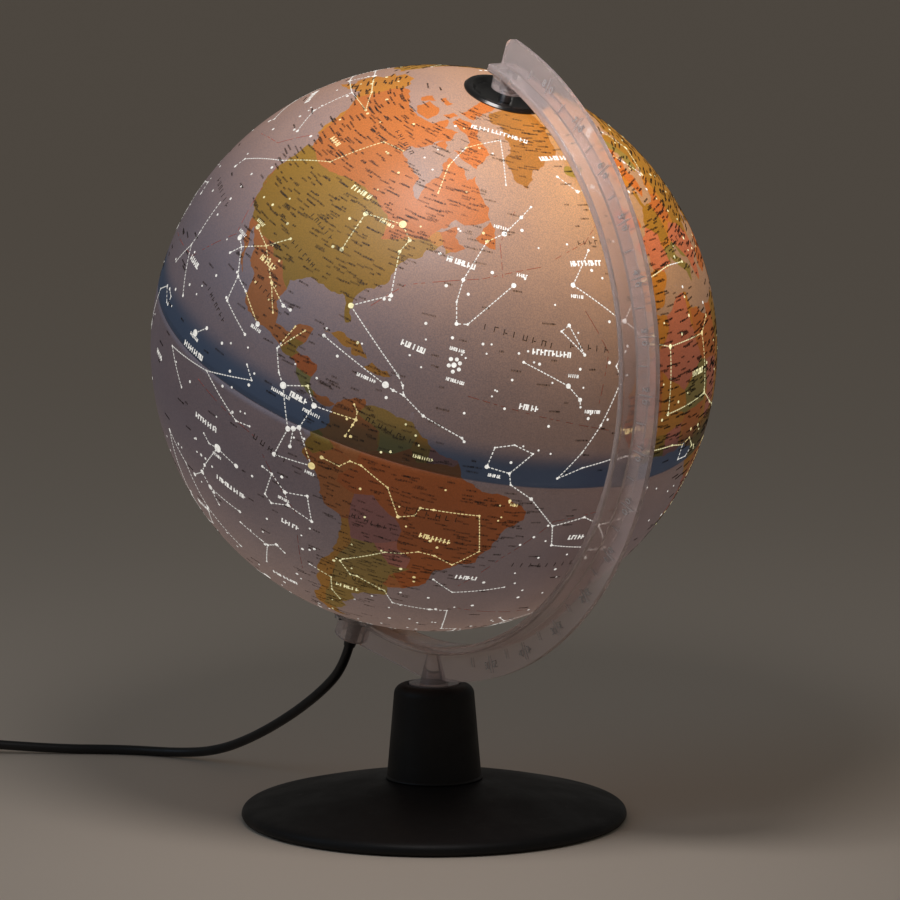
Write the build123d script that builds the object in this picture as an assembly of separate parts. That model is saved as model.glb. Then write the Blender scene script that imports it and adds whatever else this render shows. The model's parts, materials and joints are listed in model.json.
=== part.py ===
"""Illuminated desktop globe on a tilted clear arm, as separate pieces.

Frame: millimetres, +Z up, origin at the centre of the felt pad under the base.
+X is the side on which the arm bows out and towards which the north pole leans.
"""
from build123d import *
from math import cos, radians, sin, sqrt, tan, pi
import os

# ---------------------------------------------------------------- driving dimensions
globe_r = 125.0            # outside radius of the ball
shell_wall = 1.3           # thickness of the printed hemispheres
axial_tilt = 23.5          # lean of the polar axis from the vertical, degrees
globe_height = 211.0       # height of the ball's centre above the table

base_r = 86.2              # outside radius of the base
base_wall = 2.6
base_hub_r = 20.0          # flat seat in the middle of the dome
base_hub_z = 18.0          # height of that seat
base_rim_r = 81.2          # where the dome turns into the rounded rim
base_rim_z = 6.5
dome_power = 1.36          # how the dome falls from the seat to the rim
base_floor = 0.8           # the rim's lower edge stands this far off the table

collar_foot_r = 21.2       # tapered column between base and arm
collar_neck_r = 18.0
collar_top = 60.6

arm_flange_in = 132.2      # radii of the arm's T section about the ball's centre
arm_flange_out = 135.8
arm_web_out = 148.2
arm_flange_half = 8.25
arm_web_half = 1.2
arm_start = -3.0           # angles along the arm from the north pole, degrees
arm_chord_start = 160.6    # the outer edge runs straight from here to the tip
arm_end = 177.0

pin_r = 2.5                # pivot pin at the north pole
running_gap = 0.05         # radial clearance of a turning fit
sleeve_r = 14.0            # tube that carries the ball at the south pole
sleeve_screw_y = 10.8
lamp_rise = 126.0          # the lamp stands this far up on its stem
cap_r = 18.8               # black cap at the north pole
cap_dish_r = 15.2

cord_d = 4.5
cord_z = 2.35              # height of the cord's centreline on the table
coil_centre = (-340.0, -100.0)
coil_mid_r = 26.0          # middle of the coil's turns
coil_columns = 4
coil_layers = 2
coil_lift = 0.7            # the tie passes under the coil
switch_length = 58.0
switch_heading = -130.0    # the way the cord runs through the switch, degrees from +X
switch_inlet = (-252.0, -75.0)
switch_cord_z = 5.0
plug_entry = (-379.2, -88.6)
plug_heading = 110.0
plug_z = 6.9

# The cord from the strain relief down to the switch.
cord_upper_route = [
    (-61.41, 0.0, 69.77), (-65.8, 0.0, 59.7), (-78.8, -0.3, 47.6), (-103.0, -1.0, 31.9),
    (-133.0, -1.6, 16.6), (-160.0, -3.0, 6.3), (-184.0, -8.0, cord_z), (-208.0, -23.0, cord_z),
    (-231.0, -49.5, cord_z), (switch_inlet[0], switch_inlet[1], switch_cord_z),
]
# From the switch to the outermost turn of the coil's lower layer.
cord_lead_route = [
    (-289.28, -119.43, switch_cord_z), (-300.0, -131.0, 3.4), (-318.0, -136.4, 2.95),
    (-345.69, -132.25, 2.95),
]
# From the outermost turn of the upper layer to the plug.
cord_tail_route = [
    (-370.78, -111.2, 7.45), (-375.2, -101.2, 7.0), (plug_entry[0], plug_entry[1], plug_z),
]

# ---------------------------------------------------------------- frames and helpers
centre = Vector(0, 0, globe_height)
tilt = radians(axial_tilt)
# Along the polar axis: local +Z north, local +X towards the middle of the arm.
polar = Plane(origin=centre, x_dir=(cos(tilt), 0, -sin(tilt)), z_dir=(sin(tilt), 0, cos(tilt)))
lamp_axis = polar.offset(lamp_rise)


def turned(points, plane=None):
    """A solid of revolution about local Z from (radius, height) corners joined by straight lines."""
    outline = Polyline(*[(r, 0, z) for r, z in points], close=True)
    solid = revolve(make_face(outline), Axis.Z)
    return plane.location * solid if plane else solid


def tube(outer, inner, low, high, plane=None):
    """A plain tube, or a rod where inner is 0."""
    return turned([(inner, low), (outer, low), (outer, high), (inner, high)], plane)


def rod_at(radius, low, high, x, y):
    """An upright rod whose axis stands at x, y."""
    return Pos(x, y, (low + high) / 2) * Cylinder(radius, high - low)


def spot(radius, degrees_from_pole):
    """A point of the arm's own plane, as (local x, local z)."""
    a = radians(degrees_from_pole)
    return (radius * sin(a), radius * cos(a))


def around(count, radius, start=0.0):
    """Evenly spaced places on a circle about the origin."""
    return [(radius * cos(radians(start + 360 * k / count)), radius * sin(radians(start + 360 * k / count)))
            for k in range(count)]


def heading_plane(at, height, degrees):
    """A frame on the table whose local X runs along a cord's heading."""
    a = radians(degrees)
    return Plane(origin=(at[0], at[1], height), x_dir=(cos(a), sin(a), 0), z_dir=(0, 0, 1))


def write(name, shape):
    """One STEP file for each node."""
    shape.label = name
    export_step(shape, f"parts/{name}.step")


# ---------------------------------------------------------------- base
def dome_height(r):
    """Height of the base's upper face at radius r."""
    share = max(0.0, (r - base_hub_r) / (base_rim_r - base_hub_r))
    return base_rim_z + (base_hub_z - base_rim_z) * (1 - share ** dome_power)


def dome_curve(drop, last_r):
    """The dome's outline from the hub to last_r, lowered by drop."""
    steps = 5
    radii = [base_hub_r + (last_r - base_hub_r) * k / steps for k in range(steps + 1)]
    return Spline(*[(r, 0, dome_height(r) - drop) for r in radii], tangents=[(1, 0, 0), (1, 0, -0.25)])


screw_ring_r = 70.0
screw_places = around(3, screw_ring_r, 30)


def base_shell():
    """Moulded dome with a rounded rim, a flat hub seat and three screw posts."""
    outer = dome_curve(0, base_rim_r)
    inner = dome_curve(base_wall, base_rim_r - 1.5)
    rim = Spline(outer @ 1, (base_r, 0, 2.0), tangents=[(1, 0, -0.25), (0, 0, -1)])
    in_r = base_r - base_wall
    edges = [
        outer, rim,
        Polyline(rim @ 1, (base_r - 0.7, 0, base_floor), (in_r, 0, base_floor), (in_r, 0, 2.9), inner @ 1),
        inner,
        Polyline(inner @ 0, (3.3, 0, base_hub_z - base_wall), (3.3, 0, base_hub_z), outer @ 0),
    ]
    shell = revolve(make_face(edges), Axis.Z)
    top = dome_height(screw_ring_r) - base_wall / 2
    for x, y in screw_places:
        shell += rod_at(3.2, 2.8, top, x, y) - rod_at(1.3, 2.8, top - 1.5, x, y)
    return shell


def base_weight():
    """Steel ballast disc that lies on the underside cover."""
    disc = tube(57.0, 9.0, 2.8, 7.8)
    return chamfer(disc.edges().filter_by(GeomType.CIRCLE), 0.5)


def underside_cover():
    """Flat disc that closes the base, with countersunk screw holes."""
    cover = Pos(0, 0, 1.8) * Cylinder(base_r - base_wall - 0.3, 2.0)
    for x, y in screw_places:
        cover -= rod_at(1.5, 0.8, 2.8, x, y)
        cover -= Pos(x, y, 1.4) * Cone(3.0, 1.5, 1.2)
    return cover


def base_screws():
    """Three countersunk screws from below."""
    screws = []
    for x, y in screw_places:
        head = Pos(x, y, 1.45) * Cone(2.8, 1.2, 1.1)
        slot = Pos(x, y, 1.05) * (Box(3.2, 0.7, 0.5) + Box(0.7, 3.2, 0.5))
        screws.append(head + rod_at(1.2, 1.9, 6.1, x, y) - slot)
    return Compound(screws)


def felt_pad():
    """Felt disc the globe stands on."""
    return tube(62.0, 0, 0, 0.8)


# ---------------------------------------------------------------- column and its clamp
def collar():
    """Tapered column with a beaded foot and a rounded shoulder, recessed for the arm's foot."""
    shoulder = 4.6
    outer = [
        (15.6, base_hub_z), (collar_foot_r + 0.3, base_hub_z), (collar_foot_r + 0.55, base_hub_z + 0.6),
        (collar_foot_r + 0.3, base_hub_z + 1.2), (collar_foot_r - 0.1, base_hub_z + 1.5),
        (collar_neck_r, collar_top - shoulder),
    ]
    neck = (collar_neck_r, collar_top - shoulder)
    crown = (collar_neck_r - shoulder, collar_top)
    mid = (collar_neck_r - shoulder * (1 - cos(pi / 4)), collar_top - shoulder * (1 - sin(pi / 4)))
    inside = [
        crown, (11.7, collar_top), (11.7, 57.4), (7.3, 57.4), (7.3, 52.0), (13.6, 52.0),
        (15.6, base_hub_z),
    ]
    edges = [
        Polyline(*[(r, 0, z) for r, z in outer]),
        ThreePointArc(*[(r, 0, z) for r, z in (neck, mid, crown)]),
        Polyline(*[(r, 0, z) for r, z in inside]),
    ]
    return revolve(make_face(edges), Axis.Z)


def clamp_bolt():
    """Hexagon bolt that pulls the arm's foot down on the column."""
    head = extrude(Pos(0, 0, 10.0) * RegularPolygon(5.0, 6, major_radius=False), 4.0)
    return head + tube(3.0, 0, 14.0, 46.0)


def clamp_washer():
    """Washer under the bolt's head."""
    return tube(7.5, 3.3, 14.0, base_hub_z - base_wall)


def foot_insert():
    """Brass threaded insert in the arm's spigot."""
    return tube(4.6, 3.05, 34.0, 48.0)


# ---------------------------------------------------------------- arm
def arm_web():
    """The blade of the T section, with a rounded upper tip and a straight stretch near the foot."""
    upper_tip, lower_tip = spot(arm_web_out, arm_start), spot(arm_web_out + 1.0, arm_end)
    chord_start = spot(arm_web_out, arm_chord_start)
    middle = (arm_start + arm_chord_start) / 2
    overlap = arm_flange_out - 1.0
    outline = [
        ThreePointArc(upper_tip, spot(arm_web_out, middle), chord_start),
        Polyline(chord_start, lower_tip, spot(overlap, arm_end)),
        ThreePointArc(spot(overlap, arm_end), spot(overlap, middle), spot(overlap, arm_start)),
        Line(spot(overlap, arm_start), upper_tip),
    ]
    face = make_face(outline)
    tip = face.vertices().sort_by_distance(upper_tip)[0]
    face = fillet(tip, 4.0)
    return extrude(Plane.XZ * face, arm_web_half, both=True)


def arm_flange():
    """The broad inner strip that faces the ball."""
    thickness = arm_flange_out - arm_flange_in
    strip = RectangleRounded(2 * arm_flange_half, thickness, 0.9)
    section = Plane.YZ * Pos(0, (arm_flange_in + arm_flange_out) / 2) * strip
    return Rot(0, arm_start, 0) * revolve(section, Axis.Y, 180 - arm_start + 3.0)


def meridian_arm():
    """Clear moulding: T-section arc, pole boss, lamp seat, cord guard and foot."""
    arm = arm_flange() + arm_web()
    arm += Pos(0, 0, 130.9) * Cone(7.4, 8.0, 9.0)
    arm += tube(13.2, 0, -136.4, -132.0)
    arm += tube(8.3, 5.9, -148.3, -136.4)
    arm -= tube(18.0, 0, -132.0, -128.0)
    arm -= tube(3.5, 0, -137.0, -131.0)
    arm -= tube(pin_r, 0, 126.0, 134.0)
    for side in (-1, 1):
        arm -= rod_at(1.3, -137.0, -131.0, 0, side * sleeve_screw_y)
    arm = polar.location * arm
    arm += Pos(0, 0, 68.0) * Cone(6.6, 3.0, 14.0)
    arm += tube(11.3, 0, 57.4, 61.2)
    arm += tube(7.0, 0, 30.0, 57.5)
    arm -= tube(4.6, 0, 29.0, 48.2)
    return arm


def north_pin():
    """Steel pivot pressed into the arm's boss."""
    pin = tube(pin_r, 0, 115.0, 134.0)
    return polar.location * chamfer(pin.edges().group_by(Axis.Z)[0], 0.6)


# ---------------------------------------------------------------- ball
def hemisphere(side, pole_hole):
    """Half of the printed shell; side is 1 for the north half and -1 for the south half."""
    inner_r = globe_r - shell_wall

    def at(r, from_pole):
        return (r * sin(radians(from_pole)), 0, side * r * cos(radians(from_pole)))

    hole = [(pole_hole, 0, side * sqrt(r * r - pole_hole ** 2)) for r in (globe_r, inner_r)]
    edges = [
        ThreePointArc(hole[0], at(globe_r, 50), at(globe_r, 90)),
        Line(at(globe_r, 90), at(inner_r, 90)),
        ThreePointArc(at(inner_r, 90), at(inner_r, 50), hole[1]),
        Line(hole[1], hole[0]),
    ]
    return polar.location * revolve(make_face(edges), Axis.Z)


def equator_band():
    """Ring inside the ball that joins the two halves."""
    outer_r, depth, half = globe_r - shell_wall - 0.05, 1.4, 6.0

    def at(r, z):
        return (sqrt(r * r - z * z), 0, z)

    inner_r = outer_r - depth
    edges = [
        ThreePointArc(at(outer_r, half), at(outer_r, 0), at(outer_r, -half)),
        Line(at(outer_r, -half), at(inner_r, -half)),
        ThreePointArc(at(inner_r, -half), at(inner_r, 0), at(inner_r, half)),
        Line(at(inner_r, half), at(outer_r, half)),
    ]
    return polar.location * revolve(make_face(edges), Axis.Z)


north_hole = 16.1
south_hole = 18.1


def north_cap():
    """Black dish cap with a raised rim and a hub that turns on the pin."""
    rest = globe_r + 0.05
    lip = sqrt(rest ** 2 - cap_r ** 2)
    seat = sqrt(rest ** 2 - north_hole ** 2)
    rim_top = seat + 1.3
    bore = pin_r + running_gap
    return turned([
        (cap_r, lip), (cap_r, lip + 0.5), (cap_r - 0.9, rim_top - 0.2), (cap_r - 1.7, rim_top),
        (cap_dish_r + 0.6, rim_top), (cap_dish_r, rim_top - 0.3), (cap_dish_r - 1.6, rim_top - 1.9),
        (11.0, rim_top - 3.0), (7.0, rim_top - 3.5), (bore + 0.6, rim_top - 3.6), (bore, rim_top - 4.0),
        (bore, 114.5), (5.4, 114.5), (5.4, rim_top - 5.6), (north_hole - 1.6, rim_top - 4.7),
        (north_hole - 1.6, 119.5), (north_hole - 0.1, 119.5), (north_hole - 0.1, seat),
    ], polar)


def south_collar():
    """Ring glued in the south opening that turns on the lamp sleeve."""
    rest = globe_r + 0.05
    bore = sleeve_r + running_gap
    seat = sqrt(rest ** 2 - south_hole ** 2)
    lip = sqrt(rest ** 2 - 21.5 ** 2)
    return turned([
        (bore, -128.8), (20.4, -128.8), (21.5, -127.6), (21.5, -lip), (south_hole - 0.1, -seat),
        (south_hole - 0.1, -112.0), (bore, -112.0),
    ], polar)


# ---------------------------------------------------------------- lamp
def lamp_sleeve():
    """White bearing tube with a flange, fixed on the arm's lamp seat."""
    sleeve = turned([
        (3.5, -132.0), (17.5, -132.0), (17.5, -129.6), (17.0, -129.1), (sleeve_r, -129.1),
        (sleeve_r, -97.0), (12.3, -97.0), (12.3, -129.8), (3.5, -129.8),
    ])
    for side in (-1, 1):
        sleeve -= rod_at(1.1, -132.0, -129.8, 0, side * sleeve_screw_y)
    return polar.location * sleeve


def sleeve_screws():
    """Two pan-head screws that hold the sleeve on the arm."""
    screws = []
    for side in (-1, 1):
        y = side * sleeve_screw_y
        screws.append(rod_at(1.1, -136.4, -129.9, 0, y) + rod_at(2.1, -138.0, -136.4, 0, y)
                      - Pos(0, y, -138.0) * Box(3.0, 0.6, 1.0))
    return polar.location * Compound(screws)


def lamp_stem():
    """Tube that carries the lampholder up from the sleeve, with a round foot."""
    foot, top = -129.8, lamp_rise - 124.0
    return turned([
        (5.4, foot), (12.2, foot), (12.2, foot + 2.0), (6.4, foot + 2.6), (6.4, top), (5.4, top),
    ], polar)


def lampholder():
    """Moulded holder body with a well for the screw shell."""
    return turned([
        (0, -124.0), (8.0, -124.0), (12.2, -121.5), (12.2, -91.5), (10.8, -90.0), (8.4, -90.0), (8.4, -116.0),
        (0, -116.0),
    ], lamp_axis)


def screw_shell():
    """Rolled brass thread of the holder; grooves stand for the thread."""
    turns, low, pitch = 6, -113.0, 2.8
    outside = [(7.55, low)]
    for k in range(turns):
        z = low + k * pitch
        outside += [(8.05, z + 0.35 * pitch), (8.05, z + 0.65 * pitch), (7.55, z + pitch)]
    inside = [(r - 0.35, z) for r, z in reversed(outside)]
    return turned(outside + inside, lamp_axis)


def centre_contact():
    """Sprung tongue at the bottom of the holder."""
    block = Pos(0, 0, -115.4) * Box(9.0, 3.4, 1.2)
    nose = Pos(0, 0, -114.1) * Box(3.6, 3.0, 1.4)
    return lamp_axis.location * (block + nose)


def bulb_cap():
    """Screw cap of the bulb."""
    turns, low, pitch = 5, -110.0, 2.8
    outside = [(0, -113.2), (2.0, -113.2), (2.6, -112.2), (5.8, -110.8)]
    for k in range(turns):
        z = low + k * pitch
        outside += [(6.35, z), (6.95, z + 0.35 * pitch), (6.95, z + 0.65 * pitch)]
    top = low + turns * pitch
    return turned(outside + [(6.4, top), (6.6, top + 3.0), (0, top + 3.0)], lamp_axis)


def bulb_outline(gap):
    """Half outline of the bulb's glass, gap inside its outer face."""
    r, middle = 19.0 - gap, -58.0
    neck, foot = 6.3 - gap, -93.0
    low = radians(-48)
    join = (r * cos(low), 0, middle + r * sin(low))
    return [
        Line((neck, 0, foot), (neck, 0, foot + 6.0)),
        Spline((neck, 0, foot + 6.0), join, tangents=[(0, 0, 1), (-sin(low), 0, cos(low))]),
        ThreePointArc(join, (r * cos(radians(20)), 0, middle + r * sin(radians(20))), (0, 0, middle + r)),
    ]


def bulb_glass():
    """Thin-walled pear bulb."""
    outer, inner = bulb_outline(0), bulb_outline(0.8)
    edges = outer + inner + [Line(outer[0] @ 0, inner[0] @ 0), Line(outer[2] @ 1, inner[2] @ 1)]
    return lamp_axis.location * revolve(make_face(edges), Axis.Z)


def bulb_mount():
    """Glass stem with the filament's bow on two wires."""
    stem = Pos(0, 0, -84.0) * Cone(4.2, 1.8, 18.0)
    half = [(1.0, -78.0), (3.4, -66.0), (7.0, -58.0), (4.2, -50.0)]
    corners = half + [(-x, z) for x, z in reversed(half)]
    bow = FilletPolyline(*[(x, 0, z) for x, z in corners], radius=2.6)
    wire = sweep(Plane(origin=bow @ 0, z_dir=bow % 0) * Circle(0.45), path=bow)
    return lamp_axis.location * (stem + wire)


def strain_relief():
    """Tapered rubber sleeve on the cord, held by its head inside the lamp sleeve."""
    body = turned([
        (0, -153.9), (2.7, -153.9), (2.9, -152.0), (3.4, -136.0), (3.4, -129.8), (5.0, -129.8), (5.0, -127.6),
        (4.2, -126.8), (0, -126.8),
    ])
    for k in range(4):
        body -= tube(4.0, 2.6, -151.0 + 2.6 * k, -150.1 + 2.6 * k)
    return polar.location * body


# ---------------------------------------------------------------- cord
def cord_run(name, points):
    """A tube of straight runs and tangent arcs; prints its bend radii and checks its volume."""
    points = [Vector(*p) for p in points]
    runs = [b - a for a, b in zip(points, points[1:])]
    radii = []
    for before, after in zip(runs, runs[1:]):
        half_turn = radians(before.get_angle(after)) / 2
        radii.append(0.45 * min(before.length, after.length) / tan(half_turn))
    path = FilletPolyline(*points, radius=radii)
    section = Plane(origin=path @ 0, z_dir=path % 0) * Circle(cord_d / 2)
    solid = sweep(section, path=path)
    expected = pi * cord_d ** 2 / 4 * path.length
    print(f"{name}: length {path.length:.1f}, radii {[round(r, 1) for r in radii]}, "
          f"volume ratio {solid.volume / expected:.4f}")
    return solid


def coil_section():
    """Inside radius, outside radius, underside and top of the coil."""
    half = coil_columns * cord_d / 2
    return coil_mid_r - half, coil_mid_r + half, coil_lift, coil_lift + coil_layers * cord_d


def cord_coil():
    """Outer shape of the wound cord."""
    inner, outer, low, high = coil_section()
    ring = tube(outer, inner, low, high)
    ring = fillet(ring.edges().filter_by(GeomType.CIRCLE), cord_d / 2 - 0.3)
    return Pos(*coil_centre, 0) * ring


def cord_tie():
    """Strap round the bundle on the coil's far side."""
    inner, outer, low, high = coil_section()
    gap, strap, width = 0.1, 0.5, 8.0
    inner = sqrt(inner ** 2 - (width / 2) ** 2)      # the ring curves away inside the strap
    hole = (outer - inner + 2 * gap, high - low + 2 * gap)
    band = Box(hole[0] + 2 * strap, width, hole[1] + 2 * strap) - Box(hole[0], width, hole[1])
    band = Pos((inner + outer) / 2, 0, (low + high) / 2) * band
    return Pos(*coil_centre, 0) * Rot(0, 0, 60) * band


# ---------------------------------------------------------------- in-line switch
switch_frame = heading_plane(switch_inlet, 0, switch_heading)
switch_width = 21.0
switch_split = 7.0         # height of the joint between the two halves
switch_top = 14.0
rocker_x = switch_length / 2
rocker_z = 11.4            # height of the rocker's pivot
rocker_window = (17.2, 9.6)
rocker_swing = 14.0        # total travel, degrees


def switch_outline():
    """Plan of the housing: straight sides with ends that narrow to the cord."""
    x0, x1, half, nose = 0.0, switch_length, switch_width / 2, 4.2
    plan = Polyline((x0, -nose), (x0 + 9, -half), (x1 - 9, -half), (x1, -nose), (x1, nose), (x1 - 9, half),
                    (x0 + 9, half), (x0, nose), close=True)
    face = make_face(plan)
    return fillet(face.vertices(), 2.0)


def switch_half(low, high, rounded):
    """A housing half with the outer long edges rounded off at one height."""
    block = extrude(Pos(0, 0, low) * switch_outline(), high - low)
    edges = block.edges().filter_by_position(Axis.Z, rounded - 0.01, rounded + 0.01)
    return fillet(edges, 1.6)


def switch_cavity():
    """Room inside the housing for the contacts and the rocker's skirt."""
    return Pos(rocker_x, 0, (3.0 + switch_top - 2.2) / 2) * Box(36.0, 14.6, switch_top - 2.2 - 3.0)


def cord_channel():
    """The round passage through both ends of the housing."""
    return Pos(switch_length / 2, 0, switch_cord_z) * Rot(0, 90, 0) * Cylinder(cord_d / 2, switch_length + 2)


def switch_base():
    """Lower half of the switch housing."""
    half = switch_half(0.0, switch_split, 0.0) - switch_cavity() - cord_channel()
    for x in (7.0, switch_length - 7.0):
        half -= rod_at(1.0, 1.5, switch_split, x, 6.2)
    return switch_frame.location * half


def switch_cover():
    """Upper half, with the rocker's window."""
    half = switch_half(switch_split, switch_top, switch_top) - switch_cavity() - cord_channel()
    half -= Pos(rocker_x, 0, switch_top) * Box(*rocker_window, 8.0)
    for x in (7.0, switch_length - 7.0):
        half -= rod_at(1.2, switch_split, switch_top, x, 6.2)
        half -= rod_at(2.0, switch_top - 1.6, switch_top, x, 6.2)
    return switch_frame.location * half


def switch_screws():
    """Two screws that close the housing."""
    screws = []
    for x in (7.0, switch_length - 7.0):
        head = rod_at(1.9, switch_top - 1.6, switch_top - 0.5, x, 6.2)
        screws.append(head + rod_at(1.0, 2.0, switch_top - 1.6, x, 6.2)
                      - Pos(x, 6.2, switch_top - 0.5) * Box(2.6, 0.5, 0.8))
    return switch_frame.location * Compound(screws)


def switch_contacts():
    """Fixed brass contacts under the rocker."""
    pair = [Pos(rocker_x + side * 6.0, 0, 4.2) * Box(7.0, 6.0, 2.4) for side in (-1, 1)]
    return switch_frame.location * Compound(pair)


def switch_rocker():
    """Rocker with two finger faces, pressed down at the coil's end."""
    half_l, half_w, rise = rocker_window[0] / 2 - 0.5, rocker_window[1] / 2 - 0.35, 3.4
    slope = radians(rocker_swing / 2)
    ends = rise - half_l * tan(slope)
    side = Polyline((-half_l, -1.6), (-half_l + 0.4, ends + 2 * half_l * tan(slope)), (0, rise),
                    (half_l - 0.4, ends + 2 * half_l * tan(slope)), (half_l, -1.6), (2.0, -3.6), (-2.0, -3.6),
                    close=True)
    face = Plane.XZ * make_face(side)
    body = extrude(face, half_w, both=True)
    return switch_frame.location * Pos(rocker_x, 0, rocker_z) * Rot(0, rocker_swing / 2, 0) * body


# ---------------------------------------------------------------- plug
plug_frame = heading_plane(plug_entry, plug_z, plug_heading)
plug_sleeve = 18.0
plug_length = 36.0
plug_thickness = 13.6


def plug_body():
    """Flat two-pin mains plug with its ribbed cord sleeve."""
    x0 = plug_sleeve
    x1 = plug_sleeve + plug_length
    plan = Polyline((x0, -6.5), (x0 + 8, -11.5), (x1 - 9, -12.6), (x1, -16.8), (x1, 16.8), (x1 - 9, 12.6),
                    (x0 + 8, 11.5), (x0, 6.5), close=True)
    face = fillet(make_face(plan).vertices(), 2.2)
    body = extrude(Pos(0, 0, -plug_thickness / 2) * face, plug_thickness)
    flat_edges = body.edges().filter_by_position(Axis.Z, plug_thickness / 2 - 0.01, plug_thickness / 2 + 0.01)
    body = fillet(flat_edges, 2.0)
    low_z = -plug_thickness / 2
    low_edges = body.edges().filter_by_position(Axis.Z, low_z - 0.01, low_z + 0.01)
    body = fillet(low_edges, 2.0)
    along = Pos(plug_sleeve / 2, 0, 0) * Rot(0, 90, 0)
    sleeve = along * Cone(3.0, 4.6, plug_sleeve + 0.4)
    for k in range(4):
        groove = Cylinder(6.0, 1.2) - Cylinder(2.9 + 0.28 * k, 1.2)
        sleeve -= Pos(3.0 + 3.2 * k, 0, 0) * Rot(0, 90, 0) * groove
    return plug_frame.location * (body + sleeve)


def plug_pins():
    """Two round pins with sleeved roots."""
    x1 = plug_sleeve + plug_length
    pins = []
    for side in (-1, 1):
        pin = Cylinder(2.0, 19.0) + Pos(0, 0, 9.5) * Sphere(2.0)
        pins.append(Pos(x1 + 9.5, side * 9.3, 0) * Rot(0, 90, 0) * pin)
    return plug_frame.location * Compound(pins)


# ---------------------------------------------------------------- all pieces
pieces = {
    "base_shell": base_shell, "base_weight": base_weight, "underside_cover": underside_cover,
    "base_screws": base_screws, "felt_pad": felt_pad, "collar": collar, "clamp_bolt": clamp_bolt,
    "clamp_washer": clamp_washer, "foot_insert": foot_insert, "meridian_arm": meridian_arm,
    "north_pin": north_pin, "equator_band": equator_band, "north_cap": north_cap,
    "south_collar": south_collar, "lamp_sleeve": lamp_sleeve, "sleeve_screws": sleeve_screws,
    "lamp_stem": lamp_stem,
    "lampholder": lampholder, "screw_shell": screw_shell, "centre_contact": centre_contact,
    "bulb_cap": bulb_cap, "bulb_glass": bulb_glass, "bulb_mount": bulb_mount,
    "strain_relief": strain_relief, "cord_coil": cord_coil, "cord_tie": cord_tie,
    "switch_base": switch_base, "switch_cover": switch_cover, "switch_screws": switch_screws,
    "switch_contacts": switch_contacts, "switch_rocker": switch_rocker, "plug_body": plug_body,
    "plug_pins": plug_pins,
}

os.makedirs("parts", exist_ok=True)
for name, build in pieces.items():
    write(name, build())
write("north_hemisphere", hemisphere(1, north_hole))
write("south_hemisphere", hemisphere(-1, south_hole))
write("cord_upper", cord_run("cord_upper", cord_upper_route))
write("cord_lead", cord_run("cord_lead", cord_lead_route))
write("cord_tail", cord_run("cord_tail", cord_tail_route))
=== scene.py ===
"""Looks of a lit desktop globe on a clear tilted arm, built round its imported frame.

Lengths are metres. Directions on the ball are given in its own polar frame: north along the
spin axis, the arm's side at azimuth 0, east anticlockwise as seen from the north.
"""
import json
import logging
import math
import random
from dataclasses import dataclass
from enum import Enum

import bmesh
import bpy
import numpy as np
from mathutils import Matrix, Vector
from mathutils.geometry import delaunay_2d_cdt


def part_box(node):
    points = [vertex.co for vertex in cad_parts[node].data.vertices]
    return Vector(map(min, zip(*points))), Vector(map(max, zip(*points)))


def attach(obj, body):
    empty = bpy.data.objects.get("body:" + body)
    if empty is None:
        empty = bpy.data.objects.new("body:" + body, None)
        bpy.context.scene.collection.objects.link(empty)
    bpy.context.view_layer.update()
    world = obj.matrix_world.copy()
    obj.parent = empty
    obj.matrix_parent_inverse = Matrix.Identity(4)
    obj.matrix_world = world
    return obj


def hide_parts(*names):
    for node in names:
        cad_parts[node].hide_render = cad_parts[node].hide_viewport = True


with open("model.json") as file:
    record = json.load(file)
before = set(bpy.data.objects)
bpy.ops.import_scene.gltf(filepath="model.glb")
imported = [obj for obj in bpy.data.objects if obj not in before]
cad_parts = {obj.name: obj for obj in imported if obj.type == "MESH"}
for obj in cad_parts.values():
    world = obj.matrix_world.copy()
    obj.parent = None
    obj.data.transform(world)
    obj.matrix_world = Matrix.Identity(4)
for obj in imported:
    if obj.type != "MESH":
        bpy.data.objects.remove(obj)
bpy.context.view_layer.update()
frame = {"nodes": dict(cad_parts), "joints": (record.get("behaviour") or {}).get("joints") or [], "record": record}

logging.basicConfig(level=logging.INFO, format="%(name)s: %(message)s")
log = logging.getLogger("globe")

Colour = tuple[float, float, float]
Spot = tuple[float, float, float]
Place = tuple[float, float]
Span = tuple[float, float]


class Body(Enum):
    """The bodies that the pieces made here ride on."""

    STAND = "stand"
    BALL = "ball"


# ------------------------------------------------------------------ the polar frame
SPIN = next(j for j in frame["joints"] if j["name"] == "ball_spin")
NORTH = Vector(SPIN["axis"]).normalized()
CENTRE = Vector(SPIN["pos_m"])
ACROSS = Vector((0.0, 1.0, 0.0))
ARM_SIDE = ACROSS.cross(NORTH).normalized()
POLAR = Matrix.Translation(CENTRE) @ Matrix((ARM_SIDE, ACROSS, NORTH)).transposed().to_4x4()
BALL_R = (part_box("north_hemisphere")[1][1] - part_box("north_hemisphere")[0][1]) / 2


def azimuth_frame(azimuth: float, latitude: float, radius: float) -> Matrix:
    """A frame on the ball: local X east, Y north, Z outwards.

    Args:
        azimuth: degrees east of the arm.
        latitude: degrees north of the equator.
        radius: distance from the centre.

    Returns:
        The frame as a matrix in the row frame.
    """
    a, b = math.radians(azimuth), math.radians(latitude)
    out = Vector((math.cos(b) * math.cos(a), math.cos(b) * math.sin(a), math.sin(b)))
    east = Vector((-math.sin(a), math.cos(a), 0.0))
    turn = Matrix((east, out.cross(east), out)).transposed()
    return POLAR @ Matrix.Translation(out * radius) @ turn.to_4x4()


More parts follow.
